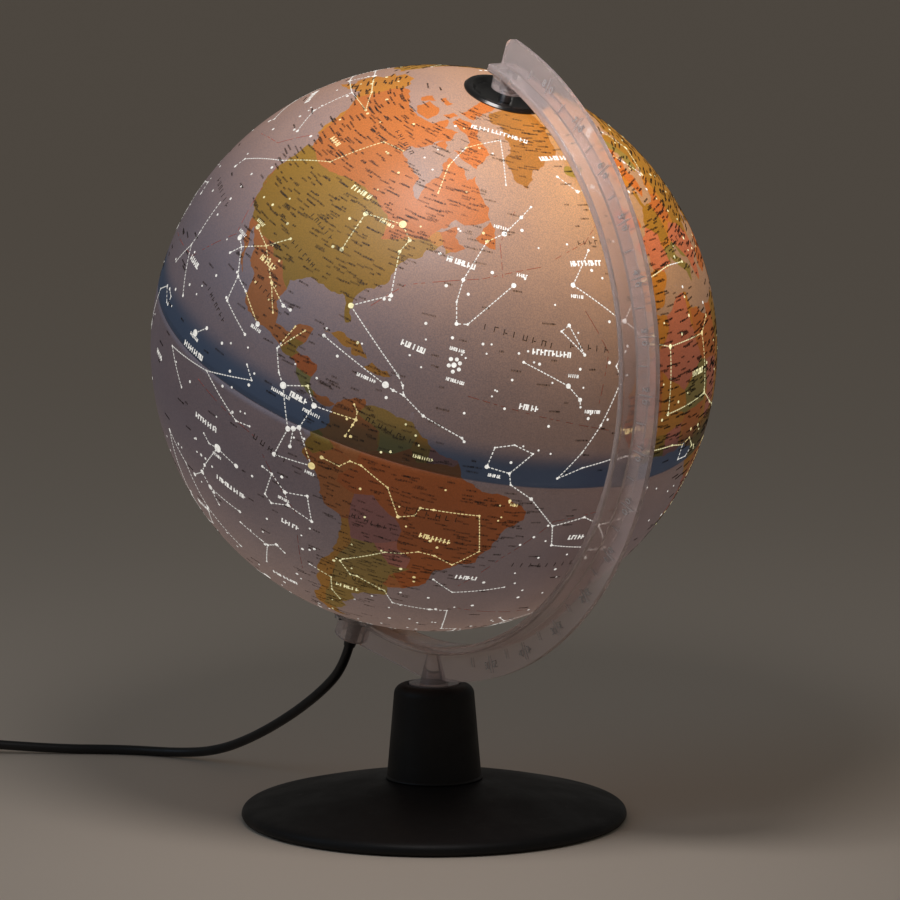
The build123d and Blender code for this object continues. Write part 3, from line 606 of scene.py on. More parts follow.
# The coasts as (longitude, latitude), coarse; small bays are added when the map is made.
COASTS: tuple[tuple[Place, ...], ...] = (
    # North America
    ((-168, 66), (-162, 67), (-166, 68.5), (-156, 71.3), (-141, 69.6), (-128, 70), (-124, 69.5), (-115, 68.5),
     (-108, 68), (-97, 68.5), (-94, 71.5), (-90, 69), (-82, 69.5), (-82, 66.5), (-87, 65), (-94, 61),
     (-94.5, 58.5), (-88, 56.5), (-82.3, 55), (-82, 52.5), (-79, 51.3), (-79.5, 54.5), (-76.8, 57), (-78.3, 60),
     (-77.5, 62.4), (-70, 61), (-67, 58.5), (-64.5, 60.2), (-61.5, 57), (-57, 54), (-56, 51.8), (-60, 50.2),
     (-66, 50.2), (-70, 47), (-65, 49), (-64.5, 47), (-61, 45.5), (-65.5, 43.5), (-67, 45), (-70.5, 43.2),
     (-70.8, 41.8), (-74, 40.6), (-75.5, 38), (-76, 35.2), (-81, 31.5), (-80.2, 26), (-81.2, 25.2), (-82.7, 28),
     (-84.5, 30), (-89.5, 30), (-94, 29.5), (-97.3, 27.5), (-97.7, 22.5), (-95.5, 18.7), (-91.5, 18.6),
     (-90.4, 21), (-87, 21.4), (-88, 17.5), (-88.8, 15.8), (-83.4, 15), (-83.7, 11), (-81.5, 9), (-79.5, 9.5),
     (-77.3, 8.6), (-78.2, 7.6), (-80.2, 7.4), (-83, 8.3), (-85.8, 10), (-87.5, 13), (-92, 14.5), (-95, 16),
     (-99.5, 16.7), (-105.5, 20.2), (-105.8, 22.8), (-109.4, 26), (-112.5, 30), (-114.7, 31.6), (-112.5, 28),
     (-109.5, 23.2), (-112, 25), (-115, 28.5), (-117.2, 32.6), (-120.6, 34.6), (-122.5, 37.6), (-124.3, 40.5),
     (-124, 46), (-124.7, 48.4), (-122.7, 49), (-127.5, 51), (-130.5, 54.5), (-134, 58), (-139.5, 59.7),
     (-146, 60.8), (-151.5, 59.3), (-153, 58), (-158, 56.5), (-163.5, 54.8), (-160, 57.5), (-157.3, 58.8),
     (-162, 59), (-166, 62), (-161, 64.5)),
    # the Arctic islands, Newfoundland last
    ((-65, 61.9), (-71, 62.8), (-78, 64.5), (-73, 65), (-73, 68), (-79, 70), (-90, 71.5), (-89, 73.5),
     (-80, 73.6), (-72, 71.5), (-67, 69), (-61.5, 66.5), (-65, 63)),
    ((-117, 70), (-110, 68.6), (-102, 68.8), (-102, 71.5), (-107, 73), (-118, 72.8)),
    ((-90, 76.5), (-78, 76.3), (-75, 79), (-62, 82.4), (-72, 83.1), (-90, 82), (-92, 79)),
    ((-125, 72), (-121, 71.4), (-116, 74), (-124, 74.3)), ((-92, 74.8), (-80, 74.6), (-80, 75.8), (-90, 76.6)),
    ((-116, 75), (-106, 74.8), (-106, 76.2), (-117, 76.4)), ((-99, 72), (-93, 72.2), (-91, 73.8), (-96, 74)),
    ((-87, 64), (-81, 63.8), (-84, 66)), ((-59, 47.8), (-53, 46.7), (-53.5, 48.8), (-55.8, 51.5), (-57.5, 50)),
    # Greenland and Iceland
    ((-73, 78.2), (-60, 82), (-32, 83.5), (-20, 81.5), (-18, 76.5), (-22, 72.5), (-22, 70.3), (-32, 68),
     (-40, 65), (-43.5, 60), (-48, 61), (-51, 64.3), (-53.5, 67), (-51, 69.8), (-55, 72), (-58, 75.5), (-68, 76)),
    ((-22.5, 64), (-18.7, 63.5), (-13.7, 65), (-16, 66.4), (-22, 66.3), (-23.8, 65)),
    # Cuba and Hispaniola
    ((-84.9, 21.9), (-82, 23.1), (-79, 22.7), (-74.2, 20.2), (-77.5, 19.9), (-78, 21.2)),
    ((-74.3, 18.5), (-73, 19.9), (-69.5, 19.3), (-68.5, 18.3), (-71.3, 17.8)),
    # South America
    ((-77.3, 8.6), (-75.5, 10.7), (-72, 12.2), (-71.5, 10.8), (-68, 11.5), (-62, 10.6), (-60, 8.5), (-57, 6),
     (-51.5, 4.3), (-50, 0.5), (-48, -0.7), (-44, -2.6), (-40, -2.9), (-37, -4.8), (-35, -6.5), (-35, -9),
     (-38.5, -13), (-39.2, -17.5), (-41, -22), (-44.5, -23.2), (-48.5, -26), (-49, -29), (-53.5, -34),
     (-57, -34.8), (-57, -38), (-62, -39), (-65, -41), (-63.8, -42.8), (-67.3, -46), (-65.8, -47.8), (-69, -51),
     (-68.3, -53), (-65.2, -54.8), (-69, -55.5), (-72.5, -53.5), (-75, -50), (-75.5, -46.7), (-73, -42),
     (-73.5, -37), (-71.5, -30), (-70.3, -23), (-70.4, -18.4), (-76, -14), (-81.2, -6), (-80.9, -2.3),
     (-80, 0.5), (-78.5, 2), (-77.3, 4), (-77.7, 7.2)),
    # Europe and Asia
    ((-9.5, 37), (-9.3, 43.2), (-1.8, 43.4), (-1.2, 46), (-4.8, 48.4), (1.5, 50), (4, 52), (8.5, 54), (8.2, 57),
     (10.6, 57.7), (10.5, 54), (14, 54), (19, 54.4), (21, 57), (24, 58), (30, 60), (23, 60), (21.5, 61),
     (25.5, 65), (22, 65.8), (17, 61), (18.7, 60), (16, 56.5), (12.8, 55.5), (11, 59), (5.5, 58.8), (5, 62),
     (12, 66), (19, 70), (28, 71), (41, 67), (38, 64), (44, 66), (44, 68.5), (54, 68.5), (68, 69), (67, 72),
     (73, 72.5), (80, 73.5), (98, 76), (104, 77.5), (113, 74), (127, 72.5), (140, 72.5), (160, 70), (170, 70),
     (180, 69), (190, 66.3), (182, 64.5), (179, 62.5), (170, 60), (163, 58), (162, 56), (157, 51), (155.7, 57),
     (163, 61.5), (155, 59.5), (142, 59), (135, 54.7), (141, 52.5), (140, 48), (135.5, 44), (130.5, 42.5),
     (127.5, 39.7), (129.4, 36), (126.5, 34.5), (126.6, 37.5), (124.5, 40), (121, 39), (122, 40.8), (117.8, 39),
     (122.5, 37.3), (119.3, 35), (121.9, 31.5), (121.5, 28.5), (117, 23.5), (110.5, 21.3), (108, 21.7),
     (105.7, 19), (109, 13), (109, 11.5), (105, 8.7), (102.5, 12), (100.5, 13.4), (99.3, 10), (103.5, 4),
     (104, 1.4), (101, 3), (98.5, 8), (98.5, 14), (97, 17), (94.3, 16), (94, 18.5), (91.5, 22.5), (87, 21.3),
     (82.3, 16.6), (80, 13), (79.8, 10.3), (77.5, 8.1), (74.5, 13), (72.8, 19), (72.5, 21.3), (70, 21),
     (69, 22.5), (67, 24.8), (61.5, 25.2), (57, 27), (51.5, 28), (50, 30), (48, 30), (50.5, 26), (52, 24.2),
     (56.3, 26.3), (59.8, 22.5), (57, 18.8), (52, 15.6), (45, 12.8), (43.3, 13), (39, 21), (35, 28),
     (34.3, 31.3), (36, 35), (36, 36.7), (30.5, 36.4), (27.3, 37), (26.3, 39.5), (29, 41), (35, 42),
     (41.5, 41.5), (37, 45), (39, 47), (35, 46.3), (33.5, 44.5), (31, 46.5), (28.5, 44), (28.5, 41.3),
     (26, 40.8), (23.5, 40.3), (23.5, 38), (21.8, 36.8), (19.4, 41), (19.4, 42), (15, 44.5), (13.5, 45.6),
     (12.4, 44.2), (15.8, 42), (18.4, 40.2), (16.5, 38.5), (15.7, 38.1), (12, 42), (9, 44.4), (6, 43.1),
     (3.2, 43.1), (3.2, 41.8), (0, 39.5), (-0.7, 37.8), (-2.2, 36.7), (-5.4, 36.1)),
    # Britain and Ireland
    ((-5.5, 50.1), (1.3, 51.2), (1.7, 52.7), (-1.5, 55), (-2, 57.5), (-5, 58.6), (-5.5, 56), (-3, 54),
     (-4.5, 53), (-5, 51.8)), ((-10, 51.7), (-6.3, 52.2), (-6, 54.5), (-8.3, 55.2), (-10, 54)),
    # Svalbard and Novaya Zemlya
    ((12, 79), (20, 77), (24, 80), (15, 80)), ((52, 71), (57, 71), (60, 75), (68, 77), (60, 76)),
    # Africa and Madagascar
    ((-5.9, 35.8), (-2, 35.1), (3, 36.8), (10, 37.3), (10.5, 34.5), (15.5, 32.3), (20, 31), (20, 32.8),
     (25, 31.7), (32.3, 31.2), (32.6, 29.9), (35.5, 24), (37.2, 20), (39.5, 15.5), (43.2, 11.5), (51.3, 11.8),
     (50.5, 9.5), (46, 3), (41.5, -1.8), (39.2, -5), (40.6, -11), (40.5, -15.5), (35, -20), (35.5, -24),
     (32.8, -26), (31, -29.8), (27, -33.6), (20, -34.8), (18.3, -33), (16.5, -28.5), (14.5, -22.7),
     (11.8, -17.5), (13.7, -11), (12.2, -6), (9, -1), (9.6, 3.8), (7, 4.4), (4.4, 6.3), (-2, 4.8), (-7.6, 4.4),
     (-13.3, 8.8), (-16.8, 12.3), (-17.5, 14.7), (-16.2, 19), (-17, 21), (-14.5, 26), (-10, 29.5),
     (-9.6, 31.5), (-6.8, 34)),
    ((49.3, -12), (50.4, -15.7), (47.2, -25), (44, -24), (44, -20), (46.5, -15.8)),
    # Australia
    ((114, -22), (113.7, -26), (115.7, -32), (118, -35), (124, -33), (131, -31.5), (135.5, -34.8), (138, -33),
     (140, -37.8), (146.3, -39), (150, -37), (153, -31), (153, -25.5), (146, -19), (145.3, -15), (142.5, -10.8),
     (140.8, -17.5), (135.8, -15), (137, -12), (132.5, -11.3), (129.5, -15), (125, -14.5), (122, -18)),
    # New Guinea, the Sunda islands and the Philippines
    ((131, -0.8), (135, -3.3), (141, -2.6), (147.8, -6), (150.8, -10.5), (144.5, -7.7), (138, -8.3), (133, -4)),
    ((109, 1.5), (113, 3.2), (117, 7), (119, 5), (117.5, 0), (116, -4), (110.2, -3)),
    ((95.3, 5.6), (100.5, 2.2), (106, -3), (105.5, -5.9), (101, -2)),
    ((105.3, -6.8), (114.4, -7.7), (114.4, -8.7), (106, -7.5)), ((119.5, -5.5), (121, 1), (125, 1.5), (121.5, -2)),
    ((120.5, 18.5), (122.2, 18.4), (121.7, 15), (124, 13), (120.7, 14)), ((122, 7), (126.5, 7.5), (125.5, 9.8)),
    # Japan, New Zealand and Ceylon
    ((131, 34), (135.5, 33.6), (140, 35.3), (142, 39.5), (141, 41.4), (139.5, 38.5), (136, 36.8), (132.5, 35.4)),
    ((140, 42), (145, 43.3), (142, 45.4)), ((173, -34.6), (178.4, -37.7), (175.5, -41.5), (174, -39)),
    ((172.7, -40.7), (174, -41.8), (171, -44.8), (168.5, -46.6), (166.7, -46)), ((80, 9.5), (81.8, 7.5), (80.5, 6)),
    # Antarctica
    ((-180, -78), (-150, -77), (-120, -74), (-90, -73), (-75, -71), (-62, -65), (-58, -63.5), (-62, -70),
     (-60, -75), (-40, -78), (-20, -74), (0, -70), (30, -69.5), (60, -67.5), (90, -66.5), (120, -66.8),
     (150, -68.5), (165, -71), (168, -77)),
)

# The tinted lands, drawn past their coasts, which trim them. An earlier land lies over a later one.
LANDS: tuple[tuple[Tint, tuple[Place, ...]], ...] = (
    # North America and the Caribbean
    (Tint.AMBER, ((-141, 75), (-141, 60.3), (-137, 59), (-130, 56), (-130, 54.7), (-125, 48.3), (-123, 49),
                  (-95, 49), (-89.5, 48), (-84.5, 46.5), (-82.5, 45.3), (-82.5, 42), (-79, 43), (-76, 44.5),
                  (-71.5, 45), (-69.5, 47.3), (-67.5, 46), (-66.8, 44.6), (-50, 42), (-50, 60), (-58, 68),
                  (-76, 77), (-60, 83), (-60, 86), (-141, 86))),
    (Tint.GOLD, ((-141, 59.5), (-141, 72), (-172, 72), (-172, 50), (-135, 54), (-131, 56), (-137, 59))),
    (Tint.CITRON, ((-130, 49.5), (-95, 49.1), (-89, 48), (-84, 46.5), (-82, 42), (-79, 43), (-71, 45),
                   (-66, 44.5), (-60, 40), (-79, 24), (-97, 25.8), (-99.5, 27.5), (-101.5, 29.8), (-104.5, 29.5),
                   (-106.5, 31.8), (-111, 31.3), (-114.8, 32.5), (-117.2, 32.5), (-130, 32))),
    (Tint.AMBER, ((-117.5, 32.6), (-114.8, 32.5), (-111, 31.3), (-106.5, 31.8), (-104.5, 29.5), (-101.5, 29.8),
                  (-99.5, 27.5), (-97, 25.8), (-94, 20), (-90, 22.5), (-86, 22), (-87.5, 18), (-91, 17.9),
                  (-91, 16), (-92.3, 14.5), (-100, 12), (-120, 20))),
    (Tint.CITRON, ((-92.3, 14.5), (-91, 17.9), (-88, 18), (-88, 15.5), (-89.5, 13.5))),
    (Tint.RUST, ((-89.5, 13.5), (-88, 16), (-82, 16), (-83, 12), (-87.7, 12.8))),
    (Tint.LEAF, ((-87.7, 12.8), (-83, 12), (-82, 8.4), (-84, 7), (-88, 10))),
    (Tint.AMBER, ((-82, 8.4), (-82, 10), (-77.3, 10), (-77.3, 7.4), (-82, 6))),
    (Tint.BRONZE, ((-76, 77), (-60, 83), (-30, 86), (-10, 82), (-18, 70), (-43, 58), (-58, 62), (-58, 68))),
    (Tint.LEAF, ((-25, 62), (-12, 62), (-12, 67), (-25, 67))),
    # South America
    (Tint.AMBER, ((-77.4, 9), (-74, 13), (-71, 12.5), (-72.5, 8.5), (-67.5, 6.2), (-67, 1.5), (-70, -0.2),
                  (-70, -4.3), (-73, -2.3), (-77.5, 0.4), (-79.5, 1.5), (-80, 8))),
    (Tint.OLIVE, ((-71, 12.5), (-72.5, 8.5), (-67.5, 6.2), (-67, 1.5), (-64, 1.8), (-60.8, 4.5), (-60, 8), (-60, 12))),
    (Tint.GOLD, ((-60, 8.5), (-60.8, 4.5), (-59, 1.5), (-57, 2), (-57.3, 6.5))),
    (Tint.ROSE, ((-57.3, 6.5), (-57, 2), (-52, 2.5), (-50.5, 5), (-55, 8))),
    (Tint.CITRON, ((-81.5, -3.5), (-79, -5), (-75.3, -2), (-75.5, 0), (-79, 1.5), (-82, 1))),
    (Tint.AMBER, ((-81.5, -4), (-78.5, -4.8), (-75.2, -1.5), (-70, -4.3), (-73, -7.5), (-73, -9.4), (-69, -11),
                  (-69, -17.3), (-70.4, -18.4), (-78, -16))),
    (Tint.MAUVE, ((-69, -11), (-65.3, -9.8), (-60, -14), (-58, -17), (-58.2, -20), (-62.7, -22.2),
                  (-67.5, -22.8), (-69, -17.5))),
    (Tint.ROSE, ((-62.7, -22.2), (-58.2, -20), (-57.8, -22.2), (-54.5, -24), (-54.6, -27.3), (-58.6, -27.2))),
    (Tint.GOLD, ((-70.4, -18.3), (-69, -17.8), (-67.5, -22.8), (-70, -30), (-70.5, -38), (-72, -45), (-73, -50),
                 (-68.5, -52.3), (-66.5, -55), (-75, -57), (-78, -45), (-74, -30))),
    (Tint.OLIVE, ((-67.5, -22.8), (-62.7, -22.2), (-58.6, -27.2), (-54.6, -27.3), (-53.7, -27), (-57.6, -30.5),
                  (-58.4, -34), (-54, -37), (-62, -56), (-66.5, -55), (-68.5, -52.3), (-73, -50), (-72, -45),
                  (-70.5, -38), (-70, -30))),
    (Tint.AMBER, ((-57.6, -30.3), (-53.5, -33.8), (-54, -36), (-58.4, -34.2))),
    (Tint.RUST, ((-75, 2), (-50, 6), (-30, -2), (-36, -30), (-54, -34), (-60, -25), (-75, -12))),
    # Europe
    (Tint.GOLD, ((-11, 36), (-5, 35.8), (3.5, 41), (-1.8, 43.6), (-9.5, 44))),
    (Tint.ROSE, ((-1.8, 43.6), (3.2, 42.5), (7.5, 43.5), (7, 47), (8, 49), (2.5, 51.2), (-6, 49))),
    (Tint.AMBER, ((-11, 50), (2.5, 51), (2, 59), (-11, 59))),
    (Tint.CITRON, ((2.5, 51.2), (8, 49), (7.5, 47.5), (13, 47.5), (14.8, 51), (14, 55), (8, 58), (3, 53))),
    (Tint.LEAF, ((7, 43.5), (7, 46), (13.7, 46.5), (20, 41), (16, 36), (8, 38))),
    (Tint.AMBER, ((14, 55), (14.8, 51), (19, 49.3), (23.7, 50.5), (23.5, 54.2), (19, 55))),
    (Tint.ROSE, ((13.5, 46.5), (13, 47.5), (19, 49.3), (24, 48), (28, 45), (28.5, 41.3), (24, 35), (19, 40))),
    (Tint.GOLD, ((4, 57), (11.3, 58.8), (12, 63), (20, 69), (31, 70), (25, 72), (4, 63))),
    (Tint.AMBER, ((11.3, 58.8), (11, 54.8), (20, 55), (24, 66), (20, 69), (12, 63))),
    (Tint.LEAF, ((20.5, 59.5), (28, 60), (31.5, 62.5), (29, 70), (20, 69), (24, 66))),
    (Tint.CITRON, ((23.7, 50.5), (31, 52), (40, 49), (37, 46), (28, 45), (22, 48))),
    (Tint.AMBER, ((26, 35), (26, 41), (30, 42), (43, 42), (45, 37), (36, 36))),
    # Asia
    (Tint.ROSE, ((47, 48), (60, 51), (70, 55), (87, 49), (80, 42), (68, 41), (55, 41))),
    (Tint.GOLD, ((74, 37), (87, 49), (96, 43), (110, 43), (117, 50), (126, 53), (135, 48), (124, 39), (125, 30),
                 (108, 15), (98, 24), (97, 28), (80, 31))),
    (Tint.RUST, ((87, 49), (96, 43), (110, 43), (119, 47), (115, 50), (98, 52))),
    (Tint.AMBER, ((68, 20), (68, 25), (76, 35), (80, 31), (89, 27), (97, 28), (92, 20), (80, 5), (74, 8))),
    (Tint.CITRON, ((44, 39), (49, 30), (57, 24), (62, 24.5), (61, 36), (54, 38))),
    (Tint.GOLD, ((34, 28), (42, 10), (62, 20), (56, 27), (47, 30), (39, 32))),
    (Tint.LEAF, ((61, 24), (61, 36), (72, 38), (76, 35), (68, 23))),
    (Tint.LEAF, ((92, 20), (98, 24), (108, 22), (112, 10), (104, 0), (97, 6))),
    (Tint.CITRON, ((26, 72), (31, 62), (24, 50), (40, 49), (37, 44), (48, 41), (60, 52), (87, 50), (126, 54),
                   (132, 42), (192, 60), (192, 72), (100, 80))),
    # Africa
    (Tint.GOLD, ((-18, 27.5), (-8.7, 27.5), (-1.5, 32.5), (-1.5, 36.5), (-12, 36))),
    (Tint.ROSE, ((-1.5, 36), (-1.5, 32.5), (-8.7, 27.5), (3, 19), (12, 23.5), (9.5, 30), (8.5, 38), (3, 38))),
    (Tint.AMBER, ((9.5, 30), (12, 23.5), (24, 19.8), (25, 32.5), (10, 34))),
    (Tint.CITRON, ((25, 32.5), (25, 22), (37, 22), (33, 32))),
    (Tint.AMBER, ((-18, 21), (-13, 21), (-8.7, 27.3), (-5.5, 25), (-5.5, 15.5), (-12, 14.8), (-18, 16))),
    (Tint.GOLD, ((-5.5, 25), (3, 19), (4, 15.5), (-4, 13), (-8, 10.5), (-12, 12), (-12, 14.8), (-5.5, 15.5))),
    (Tint.RUST, ((-18, 16), (-12, 14.8), (-12, 12), (-8, 10.5), (-8.5, 7.5), (-14, 6), (-18, 12))),
    (Tint.CITRON, ((-8.5, 7.5), (-8, 10.5), (-3, 10.5), (-3, 3), (-8.5, 3))),
    (Tint.ROSE, ((-3, 3), (-3, 10.5), (3, 12), (3, 5))),
    (Tint.AMBER, ((3, 5), (3, 12), (4, 13.7), (13.5, 13.5), (10, 6), (6, 3))),
    (Tint.LEAF, ((3, 19), (12, 23.5), (15, 23), (15.5, 17), (13.5, 13.5), (4, 13.7), (0, 15))),
    (Tint.ROSE, ((15, 23), (24, 19.8), (22.5, 11), (15.5, 8), (15.5, 17))),
    (Tint.GOLD, ((24, 22), (37.5, 22), (36, 13), (33, 4), (24, 9))),
    (Tint.RUST, ((36, 18), (43.5, 11.5), (48, 8), (42, 4), (35, 5), (34, 10))),
    (Tint.CITRON, ((43.5, 13), (52, 13), (42, -3), (41, 4), (48, 8))),
    (Tint.AMBER, ((12, -6), (18, 5), (30, 4), (30, -8), (28, -13), (22, -11))),
    (Tint.LEAF, ((30, 4), (35, 5), (42, 4), (42, -4), (30, -3))),
    (Tint.GOLD, ((30, -3), (42, -5), (42, -11), (33, -10))),
    (Tint.ROSE, ((10, -6), (22, -7), (22, -17.5), (10, -17.5))),
    (Tint.GOLD, ((10, -17.5), (21, -18), (20, -29), (15, -30))),
    (Tint.CITRON, ((15, -29), (20, -27), (31, -22), (34, -28), (25, -36), (16, -36))),
    (Tint.RUST, ((28, -13), (42, -11), (36, -27), (31, -25))),
    # Australia
    (Tint.AMBER, ((129, -10), (129, -40), (141, -40), (141, -10))),
    (Tint.GOLD, ((112, -10), (129, -10), (129, -40), (112, -40))),
)


@dataclass
class PrintedMap:
    """The inks of the map, by place: zero is the azimuth of the print's longitude 0."""

    zero: float = 18.56
    seed: int = 11
    coast_bays: float = 0.17
    border_bays: float = 0.07
    finest: float = 1.1
    plan: range = range(-90, 91)

    def __post_init__(self) -> None:
        """Prepares the wiggled outlines and the table of inks, one for each degree of the flat plan."""
        dice = random.Random(self.seed)
        self.coasts = [self.rough(line, self.coast_bays, dice) for line in COASTS]
        self.lands = [(tint, self.rough(line, self.border_bays, dice)) for tint, line in LANDS]
        rows = np.array([(x, y) for x in self.plan for y in self.plan], float)
        self.grids = {side: self.inks(rows, side) for side in (1, -1)}

    @staticmethod
    def squeeze(latitude: float) -> float:
        """Where the printed gore shows a latitude: nearer to the seam in the tropics."""
        return latitude * (0.81 + 0.19 * min(1.0, abs(latitude) / 55.0))

    def at(self, longitude: float, latitude: float) -> Place:
        """Azimuth from the arm and latitude on the ball of a printed place."""
        return longitude + self.zero, self.squeeze(latitude)

    @staticmethod
    def flat(azimuth: float, latitude: float, side: int) -> Place:
        """A place on the flat plan of one half: degrees from its pole, turned to its azimuth."""
        far, turn = 90.0 - side * latitude, math.radians(azimuth)
        return far * math.cos(turn), far * math.sin(turn)

    def rough(self, line: tuple[Place, ...], wiggle: float, dice: random.Random) -> list[Place]:
        """A closed outline with small seeded bays between its points.

        Args:
            line: longitudes and latitudes in order.
            wiggle: how far a middle point may move, per length.
            dice: the random source.

        Returns:
            Azimuths and latitudes on the ball, closer together.
        """
        made: list[Place] = []

        def split(a: Place, b: Place) -> None:
            """Adds the points from a up to b, with the middle pushed aside while the edge is long."""
            wide = (b[0] - a[0]) * math.cos(math.radians((a[1] + b[1]) / 2))
            tall = b[1] - a[1]
            span = math.hypot(wide, tall)
            if span < self.finest:
                made.append(a)
                return
            push = dice.uniform(-wiggle, wiggle)
            narrow = max(0.1, math.cos(math.radians((a[1] + b[1]) / 2)))
            middle = ((a[0] + b[0]) / 2 - push * tall / narrow, (a[1] + b[1]) / 2 + push * wide)
            split(a, middle)
            split(middle, b)

        for a, b in zip(line, (*line[1:], line[0])):
            crosses = abs(b[0] - a[0]) >= 180
            split(a, (b[0] + math.copysign(360, a[0] - b[0]), b[1]) if crosses else b)
        return [self.at(*p) for p in made]

    @staticmethod
    def inside(spots: np.ndarray, line: np.ndarray) -> np.ndarray:
        """Which flat spots lie within a flat outline.

        Args:
            spots: rows of x, y.
            line: the outline's rows of x, y.

        Returns:
            One truth value for each spot.
        """
        low, high = line.min(0), line.max(0)
        near = np.flatnonzero(np.all((spots >= low) & (spots <= high), axis=1))
        x, y = spots[near, 0], spots[near, 1]
        odd = np.zeros(len(near), bool)
        for (ax, ay), (bx, by) in zip(line, np.roll(line, -1, axis=0)):
            if ay != by:
                odd ^= ((ay > y) != (by > y)) & (x < (bx - ax) * (y - ay) / (by - ay) + ax)
        found = np.zeros(len(spots), bool)
        found[near[odd]] = True
        return found

    def inks(self, spots: np.ndarray, side: int) -> list[Tint]:
        """The ink at each flat spot of one half."""
        land = np.zeros(len(spots), bool)
        for line in self.coasts:
            if any(p[1] * side > 0 for p in line):
                land |= self.inside(spots, np.array([self.flat(*p, side) for p in line]))
        inks = np.where(land, len(Tint), 0)
        order = list(Tint)
        for tint, line in reversed(self.lands):
            if any(p[1] * side > 0 for p in line):
                hit = self.inside(spots, np.array([self.flat(*p, side) for p in line]))
                inks[hit & land] = order.index(tint)
        inks[inks == len(Tint)] = order.index(Tint.GOLD)
        return [order[i] for i in inks]

    def ink_at(self, azimuth: float, latitude: float) -> Tint:
        """The ink at one place on the ball."""
        side = 1 if latitude >= 0 else -1
        x, y = self.flat(azimuth, latitude, side)
        return self.grids[side][self.plan.index(round(x)) * len(self.plan) + self.plan.index(round(y))]


@dataclass
class PrintedHalf:
    """One half of the ball: a closed printed shell with a hole at its pole."""

    name: str
    side: int
    hole: float
    wall: float = 0.0013
    cell: float = 1.35
    coarse: float = 6.0
    rim: int = 64

    def spot(self, x: float, y: float, radius: float) -> Vector:
        """A point of the shell over a flat spot."""
        far, turn = math.radians(math.hypot(x, y)), math.atan2(y, x)
        if far > math.pi / 2 - 1e-6:
            far = math.pi / 2 - 4e-5 / radius
        off_axis = radius * math.sin(far)
        return POLAR @ Vector((off_axis * math.cos(turn), off_axis * math.sin(turn),
                               self.side * radius * math.cos(far)))

    def rings(self, cell: float, hole: float) -> tuple[list[Vector], int, int]:
        """Flat spots in rings: the seam's ring first, then the hole's, then the rest.

        Args:
            cell: the distance between rings in degrees.
            hole: the hole's angle from the pole.

        Returns:
            The spots and the number in each of the first two rings.
        """
        seam, rim = round(360 / self.cell), self.rim
        spots = [Vector((90.0 * math.cos(math.tau * i / seam), 90.0 * math.sin(math.tau * i / seam)))
                 for i in range(seam)]
        spots += [Vector((hole * math.cos(math.tau * i / rim), hole * math.sin(math.tau * i / rim)))
                  for i in range(rim)]
        count = int((90.0 - hole) / cell)
        for row in range(1, count):
            far = hole + (90.0 - hole) * row / count
            around = max(12, round(360.0 * math.sin(math.radians(far)) / cell))
            spots += [Vector((far * math.cos(math.tau * (i + 0.38 * row) / around),
                              far * math.sin(math.tau * (i + 0.38 * row) / around))) for i in range(around)]
        return spots, seam, rim

    def sheet(self, cell: float, hole: float, lines: list[list[Place]]) -> tuple[list, list]:
        """Triangles over the flat plan of the half, without its hole.

        Args:
            cell: the size of the triangles in degrees.
            hole: the hole's angle from the pole.
            lines: outlines that the triangles keep to.

        Returns:
            The flat spots and the triangles.
        """
        spots, seam, rim = self.rings(cell, hole)
        edges = [(i, (i + 1) % seam) for i in range(seam)]
        edges += [(seam + i, seam + (i + 1) % rim) for i in range(rim)]
        for line in lines:
            plan = [Vector(PrintedMap.flat(*p, self.side)) for p in line]
            known: list[int | None] = []
            for p in plan:
                keep = hole + 0.4 < p.length < 89.6
                known.append(len(spots) if keep else None)
                if keep:
                    spots.append(p)
            edges += [(a, b) for a, b in zip(known, known[1:] + known[:1]) if a is not None and b is not None]
        found, _, faces, *_ = delaunay_2d_cdt(spots, edges, [], 0, 1e-4)
        kept = []
        for face in faces:
            middle = sum((found[i] for i in face), Vector((0.0, 0.0))) / 3
            if middle.length > hole * math.cos(math.pi / rim) and len(face) == 3:
                kept.append(tuple(face))
        return found, kept

    def build(self, printed: PrintedMap, material: bpy.types.Material) -> None:
        """Makes the shell and prints it."""
        outer, inner = BALL_R, BALL_R - self.wall
        lines = printed.coasts + [line for _, line in printed.lands]
        lines = [line for line in lines if any(p[1] * self.side > 0 for p in line)]
        spots, faces = self.sheet(self.cell, math.degrees(math.asin(self.hole / outer)), lines)
        backs, back_faces = self.sheet(self.coarse, math.degrees(math.asin(self.hole / inner)), [])
        verts = [self.spot(*p, outer) for p in spots] + [self.spot(*p, inner) for p in backs]
        shift, seam = len(spots), round(360 / self.cell)
        polygons = [f[::self.side] for f in faces]
        polygons += [tuple(shift + i for i in f[::-self.side]) for f in back_faces]
        for start, count, way in ((0, seam, 1), (seam, self.rim, -1)):
            for i in range(count):
                a, b = start + i, start + (i + 1) % count
                quad = (b, a, shift + a, shift + b)
                polygons.append(quad[::way * self.side])
        mesh = bpy.data.meshes.new(self.name)
        mesh.from_pydata(verts, [], polygons)
        mesh.update()
        middles = np.array([(sum(spots[i].x for i in f) / 3, sum(spots[i].y for i in f) / 3) for f in faces])
        inks = printed.inks(middles, self.side) + [Tint.SEA] * (len(polygons) - len(faces))
        sizes = [len(p) for p in polygons]
        for key, colours in (("ink", [t.value for t in inks]), ("paint", [t.paint for t in inks])):
            corners = np.repeat(np.array([rgba(c) for c in colours], np.float32), sizes, axis=0)
            mesh.attributes.new(key, "FLOAT_COLOR", "CORNER").data.foreach_set("color", corners.ravel())
        mesh.polygons.foreach_set("use_smooth", [i < len(faces) for i in range(len(polygons))])
        piece = add_piece(self.name, mesh, material, Body.BALL)
        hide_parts(self.name.replace("printed_", "") + "_hemisphere")


